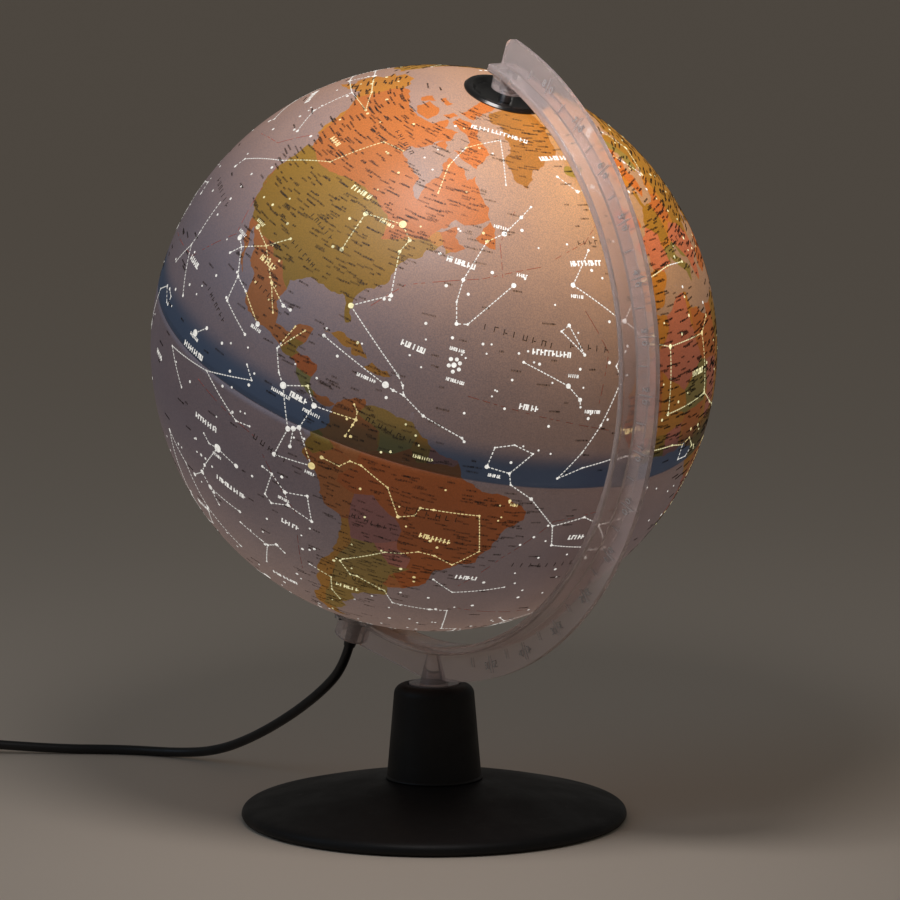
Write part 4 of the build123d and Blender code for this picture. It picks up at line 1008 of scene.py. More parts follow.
# ------------------------------------------------------------------ the printed sky
@dataclass(frozen=True)
class StarFigure:
    """A star figure, with its stars as (right ascension, declination, magnitude).

    The label is (degrees of right ascension, degrees of declination, letters), stepped from the first
    star. Lines run from star to star.
    """

    name: str
    label: tuple[int, int, int] | None
    stars: tuple[Spot, ...]
    lines: tuple[tuple[int, ...], ...]


FIGURES: tuple[StarFigure, ...] = (
    StarFigure(
        "Auriga", (16, 2, 6),
        ((79.2, 46, 0.1), (89.9, 44.9, 1.9), (89.9, 37.2, 2.6), (81.6, 28.6, 1.7),
         (74.2, 33.2, 2.7), (76.6, 41.2, 3.2), (75.5, 43.8, 3), (89.9, 54.3, 3.7)),
        ((0, 1, 2), (0, 6, 5, 4, 3))),
    StarFigure(
        "Perseus", (10, -7, 7),
        ((51.1, 49.9, 1.8), (47, 41, 2.1), (46.2, 53.5, 2.9), (42.7, 55.9, 3.8), (55.7, 47.8, 3),
         (59.5, 40, 2.9), (59.7, 35.8, 4), (58.5, 31.9, 2.9), (56.1, 32.3, 3.8), (63.7, 48.4, 4.1)),
        ((3, 2, 0, 4, 5, 6, 7, 8, 1),)),
    StarFigure(
        "Taurus", (-3, 9, 6),
        ((69, 16.5, 0.9), (67.2, 15.9, 3.4), (65, 15.6, 3.6), (65.7, 17.5, 3.8), (67.2, 19.2, 3.5),
         (60.2, 12.5, 3.4), (51.8, 9.7, 3.7), (84.4, 21.1, 3), (81.6, 28.6, 1.7), (51.2, 9, 3.6)),
        ((8, 4, 3, 2, 5, 6, 9), (7, 0, 1, 2))),
    StarFigure(
        "Pleiades", None,
        ((56.9, 24.2, 2), (55.8, 24.8, 2.8), (56.6, 25.4, 2.9), (57.8, 25.2, 2.7),
         (55.7, 23.6, 2.9), (57.9, 23.9, 2.8), (56.8, 22.9, 2.9)),
        ()),
    StarFigure(
        "Orion", (-4, -1, 5),
        ((88.8, 7.4, 0.5), (81.3, 6.3, 1.6), (83, -0.3, 2.2), (84.1, -1.2, 1.7), (85.2, -1.9, 1.7),
         (86.9, -9.7, 2.1), (78.6, -8.2, 0.2), (83.8, 9.9, 3.5), (72.5, 7, 3.2), (72.7, 8.9, 4.2),
         (72.8, 5.6, 3.7), (73.6, 2.4, 3.7), (73.7, 10.2, 4.4), (90.6, 9.6, 4.1), (92.9, 14.2, 4.3),
         (88.6, 20.3, 4.3), (91, 20.1, 4.4), (83.9, -5.9, 2.8)),
        ((0, 7, 1, 2, 3, 4, 0), (4, 5, 6, 2), (12, 9, 8, 10, 11), (1, 8), (0, 13, 14, 16),
         (14, 15), (3, 17))),
    StarFigure(
        "Gemini", (-9, -4, 6),
        ((113.6, 31.9, 1.6), (116.3, 28, 1.1), (99.4, 16.4, 1.9), (95.7, 22.5, 2.9),
         (93.7, 22.5, 3.3), (101, 25.1, 3), (107.8, 30.2, 4.3), (106, 20.6, 3.8), (110, 22, 3.5),
         (109.5, 16.5, 3.6), (116.1, 24.4, 3.6), (101.3, 12.9, 3.4), (97.2, 20.2, 4.1),
         (103.2, 34, 3.6), (114, 26.9, 4.1)),
        ((0, 6, 5, 3, 4), (5, 12), (1, 14, 8, 7, 2), (8, 9, 11), (14, 10), (6, 13), (6, 14))),
    StarFigure(
        "Cancer", (-6, -12, 6),
        ((131.7, 28.8, 4), (130.8, 21.5, 4.4), (131.2, 18.2, 3.9), (134.6, 11.9, 4.2),
         (124.1, 9.2, 3.5)),
        ((0, 1, 2, 3), (2, 4))),
    StarFigure(
        "Canis Minor", (-1, -4, 9),
        ((114.8, 5.2, 0.4), (111.8, 8.3, 2.9)),
        ((0, 1),)),
    StarFigure(
        "Monoceros", (-10, -3, 9),
        ((115.3, -9.6, 3.9), (93.7, -6.3, 4), (97.2, -7, 3.8), (108, -0.5, 4.2), (95.9, 4.6, 4.4),
         (98.2, 7.3, 4.4), (122.1, -3, 4.3)),
        ((1, 2, 3, 6), (3, 4, 5), (6, 0))),
    StarFigure(
        "Lepus", (-2, -8, 5),
        ((83.2, -17.8, 2.6), (82.1, -20.8, 2.8), (76.4, -22.4, 3.2), (78.2, -16.2, 3.3),
         (86.7, -14.8, 3.5), (89.1, -14.2, 3.7), (87.8, -20.9, 3.8), (86.1, -22.4, 3.6)),
        ((3, 0, 4, 5), (0, 1, 2, 3), (1, 7, 6, 4))),
    StarFigure(
        "Canis Major", (-4, -8, 10),
        ((101.3, -16.7, -1.5), (95.7, -18, 2), (105.9, -15.6, 4.1), (107.1, -26.4, 1.8),
         (104.7, -29, 1.5), (111, -29.3, 2.4), (105.8, -23.8, 3), (95.1, -30.1, 3),
         (104, -17.1, 4.3), (102.5, -32.5, 3.9)),
        ((1, 0, 6, 3, 5), (3, 4, 7), (0, 8, 2), (4, 9))),
    StarFigure(
        "Columba", (0, -12, 7),
        ((84.9, -34.1, 2.6), (87.7, -35.8, 3.1), (82.8, -35.5, 3.9), (95.5, -33.4, 3.9),
         (89.8, -42.8, 4), (89.4, -35.3, 4.3)),
        ((2, 0, 1, 5, 3), (1, 4))),
    StarFigure(
        "Caelum", (-4, 3, 6),
        ((70.1, -41.9, 4.4), (70.5, -37.1, 4.5), (76.1, -35.5, 4.4), (67.7, -45, 4.6)),
        ((2, 1, 0, 3),)),
    StarFigure(
        "Eridanus", (-26, -12, 8),
        ((77, -5.1, 2.8), (73.2, -5.5, 4.4), (71.4, -3.3, 4), (69.1, -3.4, 3.9), (63, -6.8, 4),
         (59.5, -13.5, 3), (56.5, -12.1, 4.3), (55.8, -9.8, 3.5), (53.2, -9.5, 3.7),
         (44.1, -8.9, 3.9), (41.3, -18.6, 4.4), (45.6, -23.6, 4.1), (49.9, -21.8, 3.7),
         (53.4, -21.6, 4.3), (56.7, -23.2, 4.2), (60, -24, 4.5), (68.4, -29.8, 4.4),
         (68.9, -30.6, 3.8), (66, -34, 4), (64.5, -33.8, 3.6), (57.4, -36.2, 4.3),
         (54.3, -40.3, 4.4), (44.6, -40.3, 2.9), (40.2, -39.9, 4.1), (36.7, -47.7, 4.2),
         (34.1, -51.5, 3.6), (29, -51.6, 3.7), (24.4, -57.2, 0.5)),
        (tuple(range(28)),)),
    StarFigure(
        "Fornax", (-7, 2, 6),
        ((48, -29, 3.9), (42.3, -32.4, 4.4), (31.1, -29.3, 4.5)),
        ((0, 1, 2),)),
    StarFigure(
        "Cetus", (-25, -18, 5),
        ((45.6, 4.1, 2.5), (40.8, 3.2, 3.5), (39.9, 0.3, 4.1), (34.8, -3, 3), (27.9, -10.3, 3.7),
         (21, -8.2, 3.6), (17.1, -10.2, 3.4), (10.9, -18, 2), (4.9, -8.8, 3.6), (26, -15.9, 3.5),
         (37, 8.5, 4.3), (41.2, 10.1, 4.3), (33.3, 8.8, 4.4), (45, 8.9, 4.4)),
        ((0, 1, 2, 3, 4, 5, 6, 8), (6, 7, 9, 4), (0, 13, 11, 10, 1))),
    StarFigure(
        "Aries", (8, -5, 5),
        ((31.8, 23.5, 2), (28.7, 20.8, 2.6), (28.4, 19.3, 3.9), (42.5, 27.3, 3.6), (47.9, 19.7, 4.3)),
        ((2, 1, 0, 3),)),
    StarFigure(
        "Triangulum", (8, 0, 10),
        ((28.3, 29.6, 3.4), (32.4, 35, 3), (34.3, 33.8, 4)),
        ((0, 1, 2, 0),)),
    StarFigure(
        "Andromeda", (-5, 4, 9),
        ((31, 42.3, 2.1), (17.4, 35.6, 2.1), (9.8, 30.9, 3.3), (2.1, 29.1, 2.1), (14.2, 38.5, 3.9),
         (12.5, 41.1, 4.4), (9.2, 33.7, 4.3), (24.5, 48.6, 3.6), (345.5, 42.3, 3.6),
         (354.4, 43.3, 4.1)),
        ((0, 1, 2, 3), (1, 4, 5, 9, 8), (0, 7), (2, 6))),
    StarFigure(
        "Pisces", (-16, 11, 6),
        ((30.5, 2.8, 3.8), (26.3, 9.2, 4.3), (22.9, 15.3, 3.6), (18.4, 24.6, 4.5),
         (19.9, 27.3, 4.5), (17.9, 30.1, 4.5), (25.4, 5.5, 4.4), (15.7, 7.9, 4.3), (12.2, 7.6, 4.4),
         (359.8, 6.9, 4), (355, 5.6, 4.1), (352, 6.4, 4.3), (349.3, 3.3, 3.7), (351.7, 1.3, 4.5),
         (355.5, 1.8, 4.4)),
        ((5, 4, 3, 2, 1, 0, 6, 7, 8, 9, 10, 11, 12, 13, 14, 10),)),
    StarFigure(
        "Cassiopeia", (14, 12, 10),
        ((10.1, 56.5, 2.2), (2.3, 59.2, 2.3), (14.2, 60.7, 2.5), (21.5, 60.2, 2.7),
         (28.6, 63.7, 3.4)),
        ((1, 0, 2, 3, 4),)),
    StarFigure(
        "Camelopardalis", (-17, 13, 14),
        ((75.9, 60.4, 4), (73.5, 66.3, 4.3), (57.6, 71.3, 4.4), (52.3, 59.9, 4.2), (74.3, 53.8, 4.4)),
        ((4, 0, 1, 2, 3),)),
    StarFigure(
        "Ursa Major", (-6, -12, 9),
        ((165.9, 61.8, 1.8), (165.5, 56.4, 2.4), (178.5, 53.7, 2.4), (183.9, 57, 3.3),
         (193.5, 56, 1.8), (201, 54.9, 2.2), (206.9, 49.3, 1.9), (142.9, 63.1, 3.7),
         (147.7, 59, 3.8), (143.2, 51.7, 3.2), (134.8, 48, 3.1), (127.6, 60.7, 3.4),
         (154.3, 42.9, 3.4), (155.6, 41.5, 3.1), (176.5, 47.8, 3.7), (167.4, 44.5, 3),
         (169.6, 33.1, 3.5)),
        ((6, 5, 4, 3, 0, 1, 2, 3), (0, 7, 11, 8, 1), (8, 9, 10), (2, 14, 15, 12, 13), (14, 16))),
    StarFigure(
        "Lynx", (-22, 18, 4),
        ((140.3, 34.4, 3.1), (139.7, 36.8, 3.8), (125.7, 43.2, 4.3), (111.7, 49.2, 4.4),
         (104.3, 58.4, 4.3), (94.9, 59, 4.4)),
        ((0, 1, 2, 3, 4, 5),)),
    StarFigure(
        "Leo", (10, 14, 3),
        ((152.1, 12, 1.4), (151.8, 16.8, 3.5), (155, 19.8, 2.1), (154.2, 23.4, 3.4),
         (148.2, 26, 3.9), (146.5, 23.8, 3), (168.5, 20.5, 2.6), (168.6, 15.4, 3.3),
         (177.3, 14.6, 2.1)),
        ((0, 1, 2, 3, 4, 5), (2, 6, 8, 7, 0), (6, 7))),
    StarFigure(
        "Hydra", (-1, -15, 5),
        ((129.4, 5.7, 4.1), (129.7, 3.3, 4.3), (130.8, 3.4, 4.3), (131.7, 6.4, 3.4),
         (133.8, 5.9, 3.1), (138.6, 2.3, 3.9), (141.9, -8.7, 2), (148, -14.8, 4.1),
         (152.6, -12.4, 3.6), (156.5, -16.8, 3.8), (162.4, -16.2, 3.1), (173.2, -31.9, 3.5),
         (199.7, -23.2, 3), (211.6, -26.7, 3.3)),
        ((3, 0, 1, 2, 4, 5, 6, 7, 8, 9, 10, 11, 12, 13),)),
    StarFigure(
        "Puppis", (-10, -14, 6),
        ((121.9, -24.3, 2.8), (120.9, -40, 2.2), (114.7, -28.4, 4), (109.3, -37.1, 2.7),
         (99.4, -43.2, 3.2), (112.3, -43.3, 3.3), (122.4, -47.3, 1.8)),
        ((2, 0, 1, 6, 5, 3, 2), (3, 4))),
    StarFigure(
        "Carina", (19, -3, 6),
        ((96, -52.7, -0.7), (125.6, -59.5, 1.9), (139.3, -59.3, 2.2), (138.3, -69.7, 1.7),
         (160.7, -64.4, 2.7)),
        ((0, 1, 2, 3, 4),)),
    StarFigure(
        "Vela", (22, -4, 4),
        ((126, -43, 2.2), (131.2, -54.7, 2), (140.5, -55, 2.5), (137, -43.4, 2.2),
         (161.7, -49.4, 2.7)),
        ((0, 1, 2, 4, 3, 0),)),
    StarFigure(
        "Phoenix", (5, -8, 7),
        ((6.6, -42.3, 2.4), (16.5, -46.7, 3.3), (22.1, -43.3, 3.4), (2.4, -45.7, 3.9),
         (10.3, -57.5, 4.3)),
        ((3, 0, 1, 2), (1, 4))),
    StarFigure(
        "Ursa Minor", (202, -21, 9),
        ((37.9, 89.3, 2), (263, 86.6, 4.3), (251, 82, 4.2), (236, 77.8, 4.3), (222.7, 74.2, 2.1),
         (230.2, 71.8, 3), (244.4, 75.8, 4.4)),
        ((0, 1, 2, 3, 4, 5, 6, 3),)),
    StarFigure(
        "Bootes", (6, 3, 6),
        ((213.9, 19.2, 0), (208.7, 18.4, 2.7), (221.2, 27.1, 2.4), (228.9, 33.3, 3.5),
         (225.5, 40.4, 3.5), (218, 38.3, 3), (218.9, 30.4, 3.6)),
        ((1, 0, 2, 3, 4, 5, 6, 0),)),
    StarFigure(
        "Virgo", (-3, 5, 5),
        ((201.3, -11.2, 1), (190.4, -1.4, 2.7), (184.9, -0.7, 3.9), (177.7, 1.8, 3.6),
         (193.9, 3.4, 3.4), (195.5, 11, 2.8), (203.7, -0.6, 3.4), (214, -6, 4.1)),
        ((3, 2, 1, 0, 6, 4, 1), (4, 5), (6, 7))),
    StarFigure(
        "Scorpius", (9, -4, 7),
        ((247.4, -26.4, 1), (240.1, -22.6, 2.3), (241.4, -19.8, 2.6), (239.7, -26.1, 2.9),
         (252.5, -34.3, 2.3), (253, -38, 3), (258, -43.2, 3.3), (264.3, -43, 1.9),
         (263.4, -37.1, 1.6), (265.6, -39, 2.4)),
        ((2, 1, 0, 4, 5, 6, 7, 9, 8), (1, 3))),
    StarFigure(
        "Sagittarius", (4, 13, 9),
        ((276, -34.4, 1.8), (275.2, -29.8, 2.7), (277, -25.4, 2.8), (285.7, -29.9, 2.6),
         (283.8, -26.3, 2), (281.4, -27, 3.2), (271.5, -30.4, 3), (288.1, -21, 2.9)),
        ((6, 1, 5, 4, 3, 5), (6, 0, 3), (2, 1), (4, 7))),
    StarFigure(
        "Cygnus", (-6, 2, 6),
        ((310.4, 45.3, 1.3), (305.6, 40.3, 2.2), (292.7, 28, 3.1), (296.2, 45.1, 2.9),
         (311.6, 34, 2.5), (299.1, 35.1, 3.9)),
        ((0, 1, 5, 2), (3, 1, 4))),
    StarFigure(
        "Lyra", (3, 3, 4),
        ((279.2, 38.8, 0), (282.5, 33.4, 3.5), (284.7, 32.7, 3.2), (283.6, 36.9, 4.3),
         (281.2, 37.6, 4.3)),
        ((0, 4, 1, 2, 3, 4),)),
    StarFigure(
        "Aquila", (-4, -11, 6),
        ((297.7, 8.9, 0.8), (296.6, 10.6, 2.7), (298.8, 6.4, 3.7), (286.4, 13.9, 3),
         (291.4, 3.1, 3.4), (286.6, -4.9, 3.4), (302.8, -0.8, 3.2)),
        ((3, 1, 0, 2), (3, 4, 5), (4, 6, 0))),
    StarFigure(
        "Pegasus", (4, 6, 7),
        ((346.2, 15.2, 2.5), (345.9, 28.1, 2.4), (3.3, 15.2, 2.8), (2.1, 29.1, 2.1),
         (340.4, 10.8, 3.4), (332.5, 6.2, 3.5), (326, 9.9, 2.4), (340.8, 30.2, 2.9)),
        ((0, 1, 3, 2, 0, 4, 5, 6), (1, 7))),
    StarFigure(
        "Aquarius", (10, -2, 8),
        ((322.9, -5.6, 2.9), (331.4, -0.3, 3), (335.4, -1.4, 3.8), (337.2, 0, 3.7),
         (338.8, -0.1, 4), (343.7, -15.8, 3.3), (343.2, -7.6, 3.7)),
        ((0, 1, 2, 3, 4, 6, 5),)),
    StarFigure(
        "Centaurus", (-20, 18, 9),
        ((219.9, -60.8, 0), (210.9, -60.4, 0.6), (204.9, -53.5, 2.3), (208.9, -47.3, 2.5),
         (190.4, -49, 2.2), (182.1, -50.7, 2.6), (211.7, -36.4, 2.1)),
        ((0, 1, 2, 4, 5), (2, 3, 6))),
    StarFigure(
        "Crux", (-4, -4, 4),
        ((186.6, -63.1, 0.8), (191.9, -59.7, 1.3), (187.8, -57.1, 1.6), (183.8, -58.7, 2.8)),
        ((0, 2), (1, 3))),
    StarFigure(
        "Piscis Austrinus", (-6, -5, 6),
        ((344.4, -29.6, 1.2), (332.1, -47, 1.7), (340.7, -46.9, 2.1), (328.5, -37.4, 3)),
        ((1, 2), (1, 3))),
    StarFigure(
        "Draco", (1, 8, 5),
        ((269.2, 51.5, 2.2), (262.6, 52.3, 2.8), (288.1, 67.7, 3.1), (257.2, 65.7, 3.2),
         (246, 61.5, 2.7), (231.2, 59, 3.3), (211.1, 64.4, 3.7), (188.4, 69.8, 3.9)),
        ((0, 1, 2, 3, 4, 5, 6, 7),)),
    StarFigure(
        "Cepheus", (15, 9, 7),
        ((319.6, 62.6, 2.5), (322.2, 70.6, 3.2), (354.8, 77.6, 3.2), (342.4, 66.2, 3.5),
         (332.7, 58.2, 3.4)),
        ((0, 1, 2, 3, 4, 0),)),
)


class Script(Enum):
    """How a row of lettering bars is set: height, pitch and stroke width, in metres."""

    SMALL = (0.00078, 0.00056, 0.00016)
    STAR = (0.00145, 0.00098, 0.00034)
    FIGURE = (0.0024, 0.00178, 0.00060)
    GREAT = (0.0024, 0.0043, 0.00034)
    COUNTRY = (0.0019, 0.0029, 0.0003)


# The large names: longitude and latitude near the middle of a land or a sea, letters, script and tilt.
GREAT_NAMES: tuple[tuple[int, int, int, Script, int], ...] = (
    (-98, 61, 6, Script.COUNTRY, -22), (-98, 39, 6, Script.COUNTRY, -16), (-98, 33, 6, Script.COUNTRY, -14),
    (-102, 23, 6, Script.COUNTRY, -10), (-112, 14, 7, Script.COUNTRY, -20), (-65, 7, 9, Script.COUNTRY, -10),
    (-64, -17, 7, Script.COUNTRY, -4), (-65, -35, 9, Script.COUNTRY, 0), (-22, 50, 6, Script.COUNTRY, 0),
    (-44, 32, 8, Script.GREAT, -7), (-27, 31, 5, Script.GREAT, -6), (-53, -11, 6, Script.GREAT, 0),
    (-88, -9, 5, Script.GREAT, -12), (-25, -22, 8, Script.GREAT, 0), (-20, -50, 5, Script.GREAT, 0),
    (-135, 30, 7, Script.GREAT, 0), (-150, 5, 7, Script.GREAT, 0), (-130, -35, 7, Script.GREAT, 0),
    (20, 46, 6, Script.GREAT, 0), (18, 8, 6, Script.GREAT, 0), (10, -38, 8, Script.GREAT, 0),
    (75, -12, 6, Script.GREAT, 0), (90, -18, 5, Script.GREAT, 0), (85, 60, 6, Script.GREAT, 0),
    (95, 35, 5, Script.GREAT, 0), (133, -25, 9, Script.GREAT, 0),
)

# The named stars: figure, star, the name's step in right ascension and declination, and letters.
STAR_NAMES: tuple[tuple[str, int, int, int, int], ...] = (
    ("Auriga", 0, 4, -1, 7), ("Perseus", 1, -2, 2, 5), ("Perseus", 0, 1, 1, 7), ("Pleiades", 0, 0, 3, 7),
    ("Pleiades", 0, -1, -3, 8), ("Taurus", 0, 4, 0, 9), ("Cetus", 0, -2, -2, 6), ("Cetus", 3, 3, -2, 4),
    ("Aries", 0, -1, 2, 5), ("Aries", 2, -3, -1, 8), ("Andromeda", 0, -1, -2, 6), ("Orion", 0, 0, -2, 10),
    ("Orion", 1, 0, -2, 9), ("Orion", 6, 0, -2, 5), ("Canis Major", 0, 0, -2, 6), ("Lepus", 0, 0, -2, 6),
    ("Gemini", 0, 0, 1, 6), ("Gemini", 1, 0, 1, 6), ("Gemini", 2, 0, -1, 6), ("Canis Minor", 0, 0, -1, 7),
)

# The sea's currents as chains of (longitude, latitude).
CURRENTS: tuple[tuple[Place, ...], ...] = (
    ((-80, 27), (-72, 36), (-55, 41), (-40, 45), (-25, 50), (-12, 56)), ((-30, 40), (-22, 30), (-24, 20)),
    ((-20, 14), (-38, 17), (-55, 19)), ((-10, -5), (-28, -9), (-36, -20), (-42, -30)),
    ((-40, -38), (-20, -40), (0, -38)), ((-125, 42), (-118, 28), (-128, 17), (-145, 14)),
    ((-150, 40), (-135, 44), (-128, 50)), ((-78, -38), (-80, -22), (-92, -8), (-110, -4)),
    ((50, -20), (70, -16), (95, -14)), ((135, 30), (150, 38), (170, 42)), ((-48, 55), (-52, 48), (-50, 42)),
)


@dataclass
class PrintedSky:
    """Stars, figure lines and rows of lettering bars on both halves of the ball.

    Proud is how far the print stands off the shell. A star's radius falls by radius_fall for each
    magnitude, and a clear spot's power grows with the lamp's direct light.
    """

    printed: PrintedMap
    seed: int = 5
    proud: float = 0.00006
    dash: float = 0.00115
    dash_width: float = 0.00044
    gap: float = 0.0016
    current_dash: float = 0.0017
    current_width: float = 0.00020
    radius_zero: float = 0.00172
    radius_fall: float = 0.00031
    radius_span: Span = (0.00042, 0.0020)
    power_base: float = 0.62
    power_gain: float = 0.32
    power_most: float = 1.35
    loose_stars: int = 760
    small_names: int = 6200

    def __post_init__(self) -> None:
        """Starts the collections of shapes."""
        self.dice = random.Random(self.seed)
        self.stars = Stamps(Stamp.DISC)
        self.dashes = Stamps(Stamp.BAR)
        self.words = {f"{half}_{quarter}": Stamps(Stamp.BAR)
                      for half in ("north", "south") for quarter in "abcd"}
        self.currents = Stamps(Stamp.BAR)

    def glint(self, azimuth: float, latitude: float) -> Colour:
        """How bright and of what colour a clear spot of the print shines."""
        out = azimuth_frame(azimuth, latitude, BALL_R).translation
        ray = out - LAMP_SPOT
        direct = ray.dot((out - CENTRE).normalized()) / BALL_R / (ray.length / BALL_R) ** 3
        power = min(self.power_most, self.power_base + self.power_gain * direct)
        ink = self.printed.ink_at(azimuth, latitude)
        warm = (1.0, 0.93, 0.52)
        if ink is Tint.SEA:
            warm = (1.0, 0.97, 0.9)
        elif ink in (Tint.RUST, Tint.AMBER):
            warm = (1.0, 0.80, 0.36)
        return tuple(power * c for c in warm)

    def star(self, azimuth: float, latitude: float, magnitude: float) -> None:
        """Prints one star, larger where it is brighter."""
        low, high = self.radius_span
        radius = min(high, max(low, self.radius_zero - self.radius_fall * magnitude))
        here = azimuth_frame(azimuth, latitude, BALL_R)
        self.stars.put(here, (radius, radius, self.proud * 2.4), self.glint(azimuth, latitude))

    def track(self, start: Place, end: Place, keep: float) -> list[tuple[Matrix, Place]]:
        """Frames along the shortest way over the ball, X forwards.

        Args:
            start: azimuth and latitude.
            end: azimuth and latitude.
            keep: the distance between frames.

        Returns:
            Frames with their azimuths and latitudes.
        """
        a, b = (azimuth_frame(*p, BALL_R).translation - CENTRE for p in (start, end))
        angle = a.angle(b)
        count = max(1, int(angle * BALL_R / keep))
        made = []
        for step in range(count):
            part = (step + 0.5) / count
            spot = math.sin((1 - part) * angle) * a + math.sin(part * angle) * b
            out = spot.normalized()
            ahead = (b - a) - out * (b - a).dot(out)
            ahead.normalize()
            local = POLAR.inverted() @ (CENTRE + out * BALL_R)
            place = (math.degrees(math.atan2(local.y, local.x)), math.degrees(math.asin(local.z / BALL_R)))
            turn = Matrix((ahead, out.cross(ahead), out)).transposed().to_4x4()
            made.append((Matrix.Translation(CENTRE + out * BALL_R) @ turn, place))
        return made

    def figure(self, figure: StarFigure) -> None:
        """Prints a star figure."""
        spots = [self.printed.at(-ra, dec) for ra, dec, _ in figure.stars]
        for spot, (_, _, magnitude) in zip(spots, figure.stars):
            self.star(*spot, magnitude)
        for line in figure.lines:
            for first, last in zip(line, line[1:]):
                for frame_here, place in self.track(spots[first], spots[last], self.gap):
                    shine = tuple(0.86 * c for c in self.glint(*place))
                    self.dashes.put(frame_here, (self.dash, self.dash_width, self.proud * 2), shine)
        if figure.label:
            along, up, letters = figure.label
            ra, dec, _ = figure.stars[0]
            middle = self.printed.at(-ra - along, dec + up)
            self.row(*middle, letters, Script.FIGURE, True, self.dice.uniform(-6, 2))

    def strokes(self, script: Script) -> list[tuple[Place, Place]]:
        """The bars of one letter-like shape, drawn at random.

        Args:
            script: its size.

        Returns:
            The middle and the size of each bar, in the letter's own plane.
        """
        tall, pitch, stroke = script.value
        kind = self.dice.randrange(4)
        wide = min(pitch * 0.62, tall * 0.66)
        bars = [((-wide / 2, 0.0), (stroke, tall))]
        if kind == 1:
            bars.append(((wide / 2, 0.0), (stroke, tall)))
        if kind in (1, 2) and script is not Script.SMALL:
            bars.append(((0.0, self.dice.choice((-1, 0, 1)) * (tall - stroke) / 2), (wide, stroke)))
        if kind == 3:
            bars.append(((wide * 0.1, -tall * 0.12), (wide * 0.55, stroke * 1.2)))
        return bars

    def row(self, azimuth: float, latitude: float, letters: int, script: Script, shines: bool,
            tilt: float = 0.0) -> None:
        """Prints a row of bars where a name stands.

        Args:
            azimuth: of the row's middle.
            latitude: of the row's middle.
            letters: how many places it has.
            script: its size and spacing.
            shines: whether it is clear print that glows or dark ink.
            tilt: degrees that it climbs to the east.
        """
        pitch = script.value[1]
        middle = azimuth_frame(azimuth, latitude, BALL_R)
        half, quarter = "north" if latitude >= 0 else "south", "abcd"[int(azimuth % 360 // 90)]
        shine = self.glint(azimuth, latitude) if shines else None
        lean = math.radians(tilt)
        for index in range(letters):
            along = (index - (letters - 1) / 2) * pitch
            flat = Vector((along * math.cos(lean), along * math.sin(lean), 0.0))
            out = (middle @ flat - CENTRE).normalized()
            across = middle.to_3x3() @ Vector((math.cos(lean), math.sin(lean), 0.0))
            across = (across - out * across.dot(out)).normalized()
            turn = Matrix((across, out.cross(across), out)).transposed().to_4x4()
            here = Matrix.Translation(CENTRE + out * BALL_R) @ turn
            for (x, y), (width, height) in self.strokes(script):
                place = here @ Matrix.Translation((x, y, 0.0))
                if shines:
                    self.dashes.put(place, (width, height, self.proud * 2.2), shine)
                else:
                    self.words[f"{half}_{quarter}"].put(place, (width, height, self.proud * 2.6))

    def scatter(self) -> None:
        """Small nameless stars, and rows of small dark bars: many on land, some by the shore, few at sea."""
        for _ in range(self.loose_stars):
            height = self.dice.uniform(-0.97, 0.975)
            azimuth, latitude = self.dice.uniform(-180, 180), math.degrees(math.asin(height))
            self.star(azimuth, latitude, self.dice.uniform(3.2, 4.6))
        for side in (1, -1):
            tries = []
            for _ in range(self.small_names):
                azimuth, height = self.dice.uniform(-180, 180), self.dice.uniform(0.02, 0.985)
                tries.append((azimuth, side * math.degrees(math.asin(height))))
            plan = np.array([PrintedMap.flat(*p, side) for p in tries])
            for spot, ink in zip(tries, self.printed.inks(plan, side)):
                shore = any(self.printed.ink_at(spot[0] + step, spot[1]) is not Tint.SEA for step in (-5, 5))
                if self.dice.random() < (0.92 if ink is not Tint.SEA else 0.42 if shore else 0.05):
                    letters, tilt = self.dice.randrange(4, 12), self.dice.choice((-4, 0, 0, 0, 3))
                    self.row(*spot, letters, Script.SMALL, False, tilt)

    def names(self) -> None:
        """The large names of seas and lands, as wide-set dark bars, and the seam's bright one."""
        for longitude, latitude, letters, script, tilt in GREAT_NAMES:
            self.row(*self.printed.at(longitude, latitude), letters, script, False, tilt)
        self.row(*self.printed.at(-58, 3), 9, Script.STAR, True, 0)
        figures = {figure.name: figure for figure in FIGURES}
        for name, star, along, up, letters in STAR_NAMES:
            ra, dec, _ = figures[name].stars[star]
            self.row(*self.printed.at(-ra - along, dec + up), letters, Script.STAR, True, -3)

    def drift(self) -> None:
        """Thin red lines of the sea's currents, broken here and there."""
        for chain in CURRENTS:
            spots = [self.printed.at(*p) for p in chain]
            for first, last in zip(spots, spots[1:]):
                for place, _ in self.track(first, last, self.gap):
                    if self.dice.random() < 0.62:
                        self.currents.put(place, (self.current_dash, self.current_width, self.proud * 2))

    def build(self) -> None:
        """Prints the whole sky."""
        for figure in FIGURES:
            self.figure(figure)
        self.scatter()
        self.names()
        self.drift()
        clear = Shining("clear_print", attribute="glint", strength=1.0).build()
        dark = Ink("dark_ink", (0.026, 0.019, 0.016)).build()
        red = Ink("red_ink", (0.42, 0.07, 0.05)).build()
        add_piece("printed_stars", self.stars.mesh(clear), clear, Body.BALL)
        add_piece("printed_figures", self.dashes.mesh(clear), clear, Body.BALL)
        for name, words in self.words.items():
            add_piece(f"printed_names_{name}", words.mesh(dark), dark, Body.BALL)
        add_piece("printed_currents", self.currents.mesh(red), red, Body.BALL)


